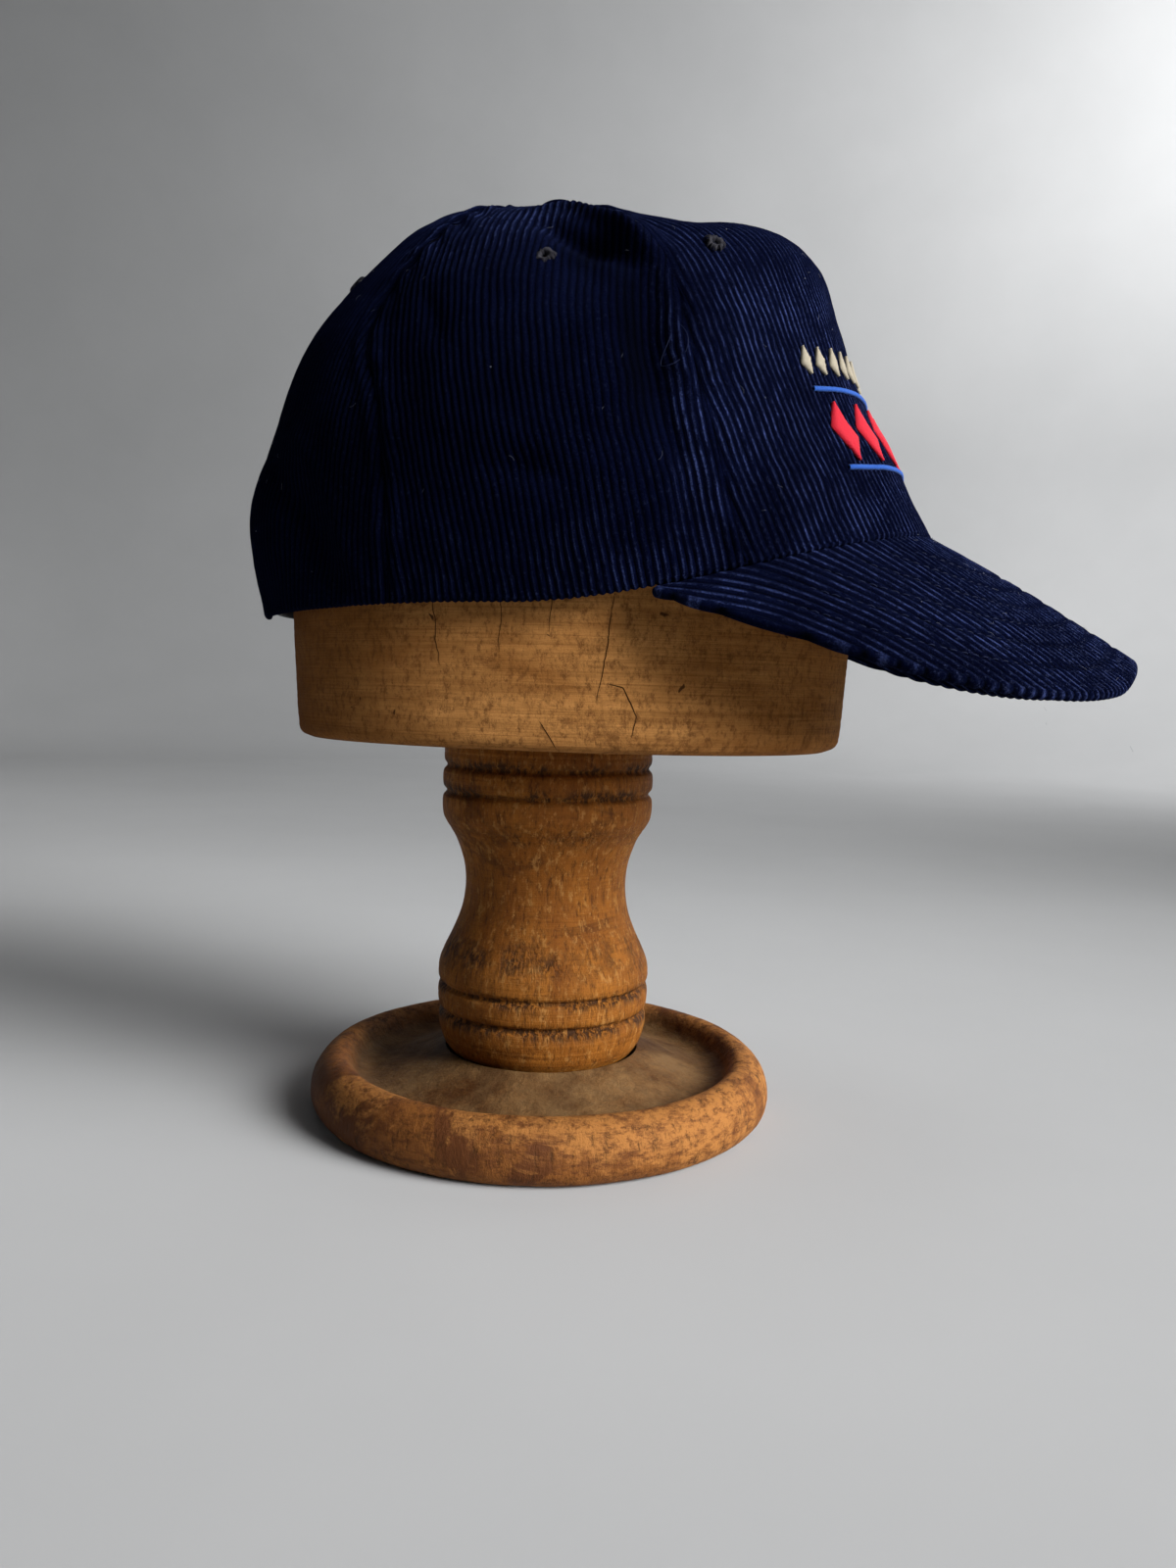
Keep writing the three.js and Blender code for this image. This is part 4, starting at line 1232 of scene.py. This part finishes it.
def add_satin(name, starts, ends, lift, material):
    """Threads from start to end, each (across, up), laid over the pile with their ends tucked in."""
    share = np.linspace(0, 1, 5)
    starts, ends = np.array(starts), np.array(ends)
    paths = starts[:, None] + (ends - starts)[:, None] * share[:, None]
    height = 0.1 + lift * np.sin(np.pi * share) ** 0.5
    threads = zip(*on_front(paths[..., 0], paths[..., 1], height))
    add_piece(name, [tube(line, THREAD * MM, normal) for line, normal in threads], material)


def make_lozenges(row, material):
    random = np.random.default_rng(int(row["up"] * 1000))
    count = int(EMBROIDERY_HALF_WIDTH / row["step"])
    starts, ends = [], []
    for middle in np.arange(-count, count + 1) * row["step"]:
        for rise in np.arange(-row["half_height"], row["half_height"], THREAD_PITCH) + THREAD_PITCH / 2:
            half = row["half_width"] * (1 - abs(rise) / row["half_height"]) + THREAD_END
            loose = random.uniform(-0.12, 0.12, 2)
            tilt = row["slant"] * half
            starts.append((middle - half + loose[0], up_step(row["up"], rise - tilt)))
            ends.append((middle + half + loose[1], up_step(row["up"], rise + tilt)))
    add_satin(row["name"], starts, ends, 0.75, material)


def make_bar(row):
    random = np.random.default_rng(int(row["up"] * 1000))
    starts, ends = [], []
    for across in np.arange(-EMBROIDERY_HALF_WIDTH, EMBROIDERY_HALF_WIDTH, THREAD_PITCH):
        loose = random.uniform(-0.08, 0.08, 2)
        starts.append((across, up_step(row["up"], loose[0])))
        ends.append((across + 0.3, up_step(row["up"], row["height"] + loose[1])))
    add_satin(row["name"], starts, ends, 0.6, BLUE_THREAD)


# ---- Lint and loose threads -------------------------------------------------------------

CROWN_LINT = 130
BRIM_LINT = 36
SPECK_SHARE = 0.2
SPECK_LENGTH = 0.3
SPECK_RADIUS = 0.13
FIBRE_RADIUS = 0.032
LOOSE_THREAD_RADIUS = 0.07


def make_lint():
    """Fine pale fibres and specks caught in the pile of the crown and the brim."""
    random = np.random.default_rng(77)
    angles = np.radians(random.uniform(-180, 180, CROWN_LINT))
    ups = random.uniform(0.03, 0.9, CROWN_LINT)
    xy = points_of(random.uniform(120, 178, BRIM_LINT), random.uniform(-70, 70, BRIM_LINT)) * MM
    on_brim, brim_normals = brim_surface(xy)
    places = [crown_point(angles, ups, -0.25 * WALE_HEIGHT), on_brim + brim_normals * 0.3 * MM]
    normals = [crown_normal(angles, ups), brim_normals]
    share = np.linspace(-0.5, 0.5, 6)[:, None]
    parts = []
    for place, normal in zip(np.concatenate(places), np.concatenate(normals)):
        speck = random.uniform() < SPECK_SHARE
        length = SPECK_LENGTH if speck else random.uniform(0.8, 3.2)
        radius = SPECK_RADIUS if speck else FIBRE_RADIUS
        ahead = unit(np.cross(normal, random.normal(size=3)))
        bend = random.uniform(-1.2, 1.2) * length * share**2
        curve = ahead * share * length + np.cross(normal, ahead) * bend
        line = place + (curve + normal * 0.15 * (1 - 4 * share**2)) * MM
        parts.append(tube(line, radius * MM, normal, sides=4))
    add_piece("lint", parts, LINT)


def make_loose_thread():
    """A fine thread that has worked out of the right front seam and hangs in a loop."""
    share = np.linspace(0, 1, 60)
    angle = -np.radians(57.5 + 3.4 * np.sin(1.8 * np.pi * share) * (0.4 + 0.6 * share))
    up = 0.515 - 0.075 * np.sin(0.95 * np.pi * share) + 0.03 * share
    line = crown_point(angle, up, -0.9 - 0.5 * np.sin(5 * np.pi * share))
    thread = tube(line, LOOSE_THREAD_RADIUS * MM, crown_normal(angle, up))
    add_piece("loose_thread", [thread], SEAM_THREAD)


# ---- The stand --------------------------------------------------------------------------

BLOCK_BOTTOM = 128.5
BLOCK_CENTRE_X = 6.5
BLOCK_SQUARENESS = 2.2
BLOCK_SIDES = 400
BLOCK_SIDE_HEIGHT = 76.5
BLOCK_EDGE_HEIGHT = 4  # up to here its rings lie closer
BLOCK_ROWS = table(
    "z length width",
    (128.5, 88.5, 71),
    (129.7, 91.3, 73.8),
    (132.5, 92.5, 75),
    (150, 93.7, 76),
    (172, 95, 77),
    (205, 95, 76.5),
)
BLOCK_TOP_ROWS = table(
    "up clear",
    (0.54, 9), (0.62, 8.5), (0.69, 8), (0.75, 7), (0.81, 6),
    (0.86, 5.5), (0.91, 5), (0.95, 5), (0.994, 4.5),
)
PILLAR_RADIUS = 36
PILLAR_SIDES = 240
PILLAR_ROWS = [
    (32.2, 20.0), (34.6, 23.5), (36.2, 28.5), (36.4, 33.0), (35.0, 34.8), (36.6, 36.6),
    (36.8, 42.3), (35.4, 44.0), (36.8, 45.8), (36.7, 50.5), (35.2, 55.0), (32.0, 62.0),
    (29.4, 69.0), (28.1, 77.5), (28.8, 85.7), (31.5, 94.1), (34.9, 99.7), (36.3, 102.8),
    (36.5, 108.6), (35.1, 110.8), (36.4, 112.8), (36.4, 117.6), (35.1, 119.6), (36.1, 121.6),
    (36.1, 126.0), (35.4, 128.2),
]  # radius and height, from the foot up to the block
SCORED_HEIGHTS = (27, 39.5, 48, 98, 124)
TORN_SHARE = 1.4
TORN_ROWS = table(
    "z width depth",
    (120.5, 2.0, 0.9),
    (111.8, 2.2, 1.0),
    (98.0, 3.5, 0.35),
    (57.0, 6.0, 0.7),
    (43.6, 2.2, 0.9),
    (33.6, 2.4, 0.8),
)  # where the pillar's grain is torn
FOOT_RIM_RADIUS = 78
FOOT_DISH_RADIUS = 69
FOOT_SIDES = 300
FOOT_ROWS = [
    (74.0, 0.0), (77.5, 1.2), (79.8, 4.5), (80.2, 8.5), (79.2, 13.0), (76.4, 17.2),
    (72.6, 19.3), (69.4, 19.2), (67.0, 17.4), (64.4, 13.6), (58.5, 12.4), (48.0, 15.4),
    (38.0, 19.2), (34.0, 20.7),
]  # radius and height, from the underside round the rim to the pillar
CRACK_ROWS = table(
    "width path",
    (0.16, [(256.3, 47), (257.2, 35), (258, 24)]),
    (0.12, [(272, 54), (272.4, 40), (272, 27)]),
    (0.14, [(283, 54), (283.3, 44), (282.8, 34)]),
    (0.17, [(296, 47), (294.6, 30), (293, 14)]),
    (0.2, [(295, 20), (298, 19), (301, 11), (300.4, 5)]),
    (0.16, [(281, 9), (283, 5), (285, 0.8)]),
    (0.15, [(95, 52), (95.6, 34), (95, 21)]),
    (0.14, [(62, 54), (61.5, 38), (62.4, 28)]),
    (0.13, [(178, 56), (178.6, 42), (178, 31)]),
)  # drying cracks of the block: degrees round it and millimetres above its underside


def rounded_profile(rows, gap):
    """A smooth curve through (radius, height) rows, with points about the gap apart."""
    rows = np.array(rows, float)
    chord = np.linalg.norm(np.diff(rows, axis=0), axis=1) ** 0.5
    knots = np.concatenate([[0], np.cumsum(chord)])
    knot_rows = table("knot r z", *zip(knots, *rows.T))
    fine = np.linspace(0, knots[-1], 1200)
    return evenly(points_of(along(knot_rows, "r", fine), along(knot_rows, "z", fine)), gap)


def hollowness(profile, reach):
    """How far each point of a profile lies inside the mean of its neighbours, in millimetres."""
    kernel = np.ones(2 * reach + 1) / (2 * reach + 1)
    mean = [np.convolve(np.pad(column, reach, mode="edge"), kernel, "valid") for column in profile.T]
    ahead = unit(np.gradient(profile, axis=0))
    outward = points_of(ahead[:, 1], -ahead[:, 0])
    return np.clip(np.sum((np.transpose(mean) - profile) * outward, axis=1), 0, None)


def turned_part(profile, sides, relief, tone):
    """A turned solid's surface from a profile in millimetres; relief(points) is added outward."""
    turns = circle(sides)
    ahead = unit(np.gradient(profile, axis=0))
    points = around_axis(profile[:, :1], turns, profile[:, 1:])
    normals = around_axis(ahead[:, 1:], turns, -ahead[:, :1])
    points = points + normals * relief(points)[..., None]
    return sheet(points * MM, np.repeat(tone, sides), closed=True)


def on_pillar(points):
    """The turns of points about the axis, their heights, and their places at one radius."""
    x, y, z = np.moveaxis(points, -1, 0)
    turn = np.arctan2(y, x)
    return turn, z, around_axis(PILLAR_RADIUS, turn, z)


def torn_share(points):
    """How torn the grain is where the turning tool dragged, on the beads and the swelling."""
    _, z, around = on_pillar(points)
    torn = sum(row["depth"] * bump_at(z - row["z"], row["width"]) for row in TORN_ROWS)
    return TORN_SHARE * torn * np.clip(lattice_noise(around, 7, 35) + 0.75, 0.1, 1)


def pillar_relief(points):
    """Chatter of the turning tool on the beads, scored rings, and slight wear."""
    turn, z, around = on_pillar(points)
    out = 0.12 * lattice_noise(around, 16, 31) + 0.05 * lattice_noise(around * [1, 1, 0.4], 1.6, 32)
    slope = np.sin((turn * PILLAR_RADIUS * 0.9 + z * 1.1) * 2.1)
    tool = bump_at(z - 60, 8) * np.clip(lattice_noise(around, 9, 34) + 0.4, 0, 1)
    out = out - 0.13 * tool * np.clip(slope, 0, 1)
    return out - 0.16 * sum(bump_at(z - height, 0.35) for height in SCORED_HEIGHTS)


def foot_relief(points):
    """Tool marks on the rim and a slightly uneven dish."""
    x, y, z = np.moveaxis(points, -1, 0)
    out = 0.16 * lattice_noise(points, 18, 41) + 0.05 * lattice_noise(points * [1, 1, 0.5], 2.2, 42)
    rim = bump_at(np.hypot(x, y) - FOOT_RIM_RADIUS, 5)
    slope = np.clip(np.sin(np.arctan2(y, x) * 128 + z * 1.4), 0, 1)
    return out - 0.14 * rim * slope * np.clip(lattice_noise(points, 14, 43) + 0.2, 0, 1)


def make_pillar():
    profile = rounded_profile(PILLAR_ROWS, 0.62)
    # painted shade in the grooves and hollows of the profile, carried in the tone
    dirt_and_shade = np.clip(hollowness(profile, 2) * 2.2, 0, 0.5)
    points, faces, tones = turned_part(profile, PILLAR_SIDES, pillar_relief, dirt_and_shade)
    tones = np.clip(tones + torn_share(points / MM).ravel(), 0, 1)
    add_piece("pillar_turning", [(points, faces, tones)], TURNED_WOOD, ["pillar"])


def make_foot():
    profile = rounded_profile(FOOT_ROWS, 0.8)
    r, z = profile.T
    # the tone: dust in the dish, and darker in the hollows of the profile
    dish = np.clip((FOOT_DISH_RADIUS - r) / 5, 0, 1) * (z > 10)
    dust = np.maximum(0.85 * dish, np.clip(hollowness(profile, 4) * 1.2, 0, 0.5))
    side = turned_part(profile, FOOT_SIDES, foot_relief, dust)
    ring = side[0][0]
    ring[:, 2] = 0
    add_piece("foot_turning", [side, closing_disc(ring, False)], FOOT_WOOD, ["foot"])


def block_ring(turns, z):
    """Points of the block's side at turns about it and heights."""
    r = oval_radius(turns, along(BLOCK_ROWS, "length", z), along(BLOCK_ROWS, "width", z), BLOCK_SQUARENESS)
    return around_axis(r, turns, z) + [BLOCK_CENTRE_X, 0, 0]


def block_relief(points):
    """The block's broad unevenness, and the directions out of its side."""
    return 0.25 * lattice_noise(points, 30, 52), unit((points - [BLOCK_CENTRE_X, 0, 0]) * [1, 1.4, 0])


def make_cracks():
    """Thin dark lines where the block has cracked along the grain."""
    parts = []
    for number, row in enumerate(CRACK_ROWS):
        turn, height = drawn(row["path"], 60)
        z = BLOCK_BOTTOM + height
        here = points_of(z, 0, 9 * number)
        turn = np.radians(turn + 0.25 * lattice_noise(here, 5, 61) + 0.1 * lattice_noise(here, 1.3, 62))
        line = block_ring(turn, z)
        out, outward = block_relief(line)
        line = line + outward * (out[:, None] + 0.02)
        narrowing = np.sqrt(np.sin(np.pi * np.linspace(0.02, 0.98, len(line))))
        parts.append(tube(line * MM, row["width"] * narrowing * MM, outward, flatness=0.6, tone=1.0))
    add_piece("block_cracks", parts, BLOCK_WOOD)


def make_block():
    """The hat block: flat below with a worn edge, sanded sides, and a dome inside the cap."""
    turns = circle(BLOCK_SIDES)
    edge = np.linspace(0, BLOCK_EDGE_HEIGHT, 14)[:-1]
    heights = np.concatenate([edge, np.linspace(BLOCK_EDGE_HEIGHT, BLOCK_SIDE_HEIGHT, 62)])
    sides = block_ring(turns, (heights + BLOCK_BOTTOM)[:, None])
    out, outward = block_relief(sides)
    out = 0.09 * lattice_noise(sides * [1, 1, 9], 7, 51) + out
    sides = sides + outward * out[..., None]
    ups = np.linspace(0.58, 0.99, 16)[:, None]
    top = crown_point(turns, ups + 0 * turns, CLOTH + along(BLOCK_TOP_ROWS, "clear", ups))
    points = np.concatenate([sides * MM, top])
    dirt_and_shade = np.concatenate([0.3 * np.exp(-heights / 2.5), np.zeros(len(top))])
    side = sheet(points, np.repeat(dirt_and_shade, BLOCK_SIDES), closed=True)
    parts = [side, closing_disc(points[0], False), closing_disc(points[-1], True)]
    add_piece("block_body", parts, BLOCK_WOOD, ["hat_block"])


# ---- Everything together ------------------------------------------------------------------

make_panels()
make_crown_inside()
stitch_rows = [stitch_line(inset) for inset in STITCH_LINES]
make_brim(stitch_rows)
make_brim_stitches(stitch_rows)
make_button()
make_eyelets()
make_strap()
for lozenge_row, lozenge_thread in zip(LOZENGE_ROWS, (CREAM_THREAD, RED_THREAD)):
    make_lozenges(lozenge_row, lozenge_thread)
for bar_row in BAR_ROWS:
    make_bar(bar_row)
make_lint()
make_loose_thread()
make_cracks()
make_block()
make_pillar()
make_foot()

# ---- Stage and light ----------------------------------------------------------------------

STAGE_RADIUS = 2.6
STAGE_BEND = 0.7
STAGE_SIDES = 96
WORLD_COLOUR = (1, 0.97, 0.94, 1)
WORLD_STRENGTH = 0.005

# Softboxes: where each hangs, what it points at, its size in metres, power in watts and spread.
LIGHT_ROWS = table(
    "name place aim size power spread",
    ("window", (1.6, -0.42, 0.95), (0.02, 0, 0.16), 1.2, 11, 50),
    ("overhead", (0.4, 0.1, 2.3), (0, 0, 0.2), 1.4, 2.4, 120),
    ("wall_wash", (1.5, 1.2, 1.9), (0.6, 2.6, 1.2), 0.8, 46, 130),
)


def make_stage():
    """A plain pale floor that curves up into a plain wall all round."""
    nodes = Nodes("stage")
    cloud = nodes.noise(2.2, 6, roughness=0.6)
    material = nodes.shade(Base_Color=nodes.mix(cloud, STAGE_GREY, STAGE_PALE), Roughness=0.9)
    bend = np.radians(np.linspace(0, 90, 24))
    bend_r = STAGE_RADIUS - STAGE_BEND * (1 - np.sin(bend))
    r = np.concatenate([[0.02, 0.3, 0.8, 1.4], bend_r, [STAGE_RADIUS] * 3])[:, None]
    z = np.concatenate([[0, 0, 0, 0], STAGE_BEND * (1 - np.cos(bend)), [1.3, 2.2, 3.4]])[:, None]
    points = around_axis(r, circle(STAGE_SIDES), z)
    floor = sheet(points, 0, closed=True)
    new_object("stage", [floor, closing_disc(points[0], True)], material)


def make_lights():
    """The softboxes, and a faint light from all round."""
    for row in LIGHT_ROWS:
        data = bpy.data.lights.new(row["name"], "AREA")
        data.size = row["size"]
        data.energy = row["power"]
        data.spread = np.radians(row["spread"])
        light = bpy.data.objects.new(row["name"], data)
        light.location = row["place"]
        aim = Vector(row["aim"]) - Vector(row["place"])
        light.rotation_euler = aim.to_track_quat("-Z", "Y").to_euler()
        light.visible_camera = False
        bpy.context.scene.collection.objects.link(light)
    world = bpy.data.worlds.new("world")
    world.use_nodes = True
    background = world.node_tree.nodes["Background"]
    background.inputs["Color"].default_value = WORLD_COLOUR
    background.inputs["Strength"].default_value = WORLD_STRENGTH
    bpy.context.scene.world = world
    bpy.context.scene.view_settings.view_transform = "Standard"


make_stage()
make_lights()

bpy.context.view_layer.update()
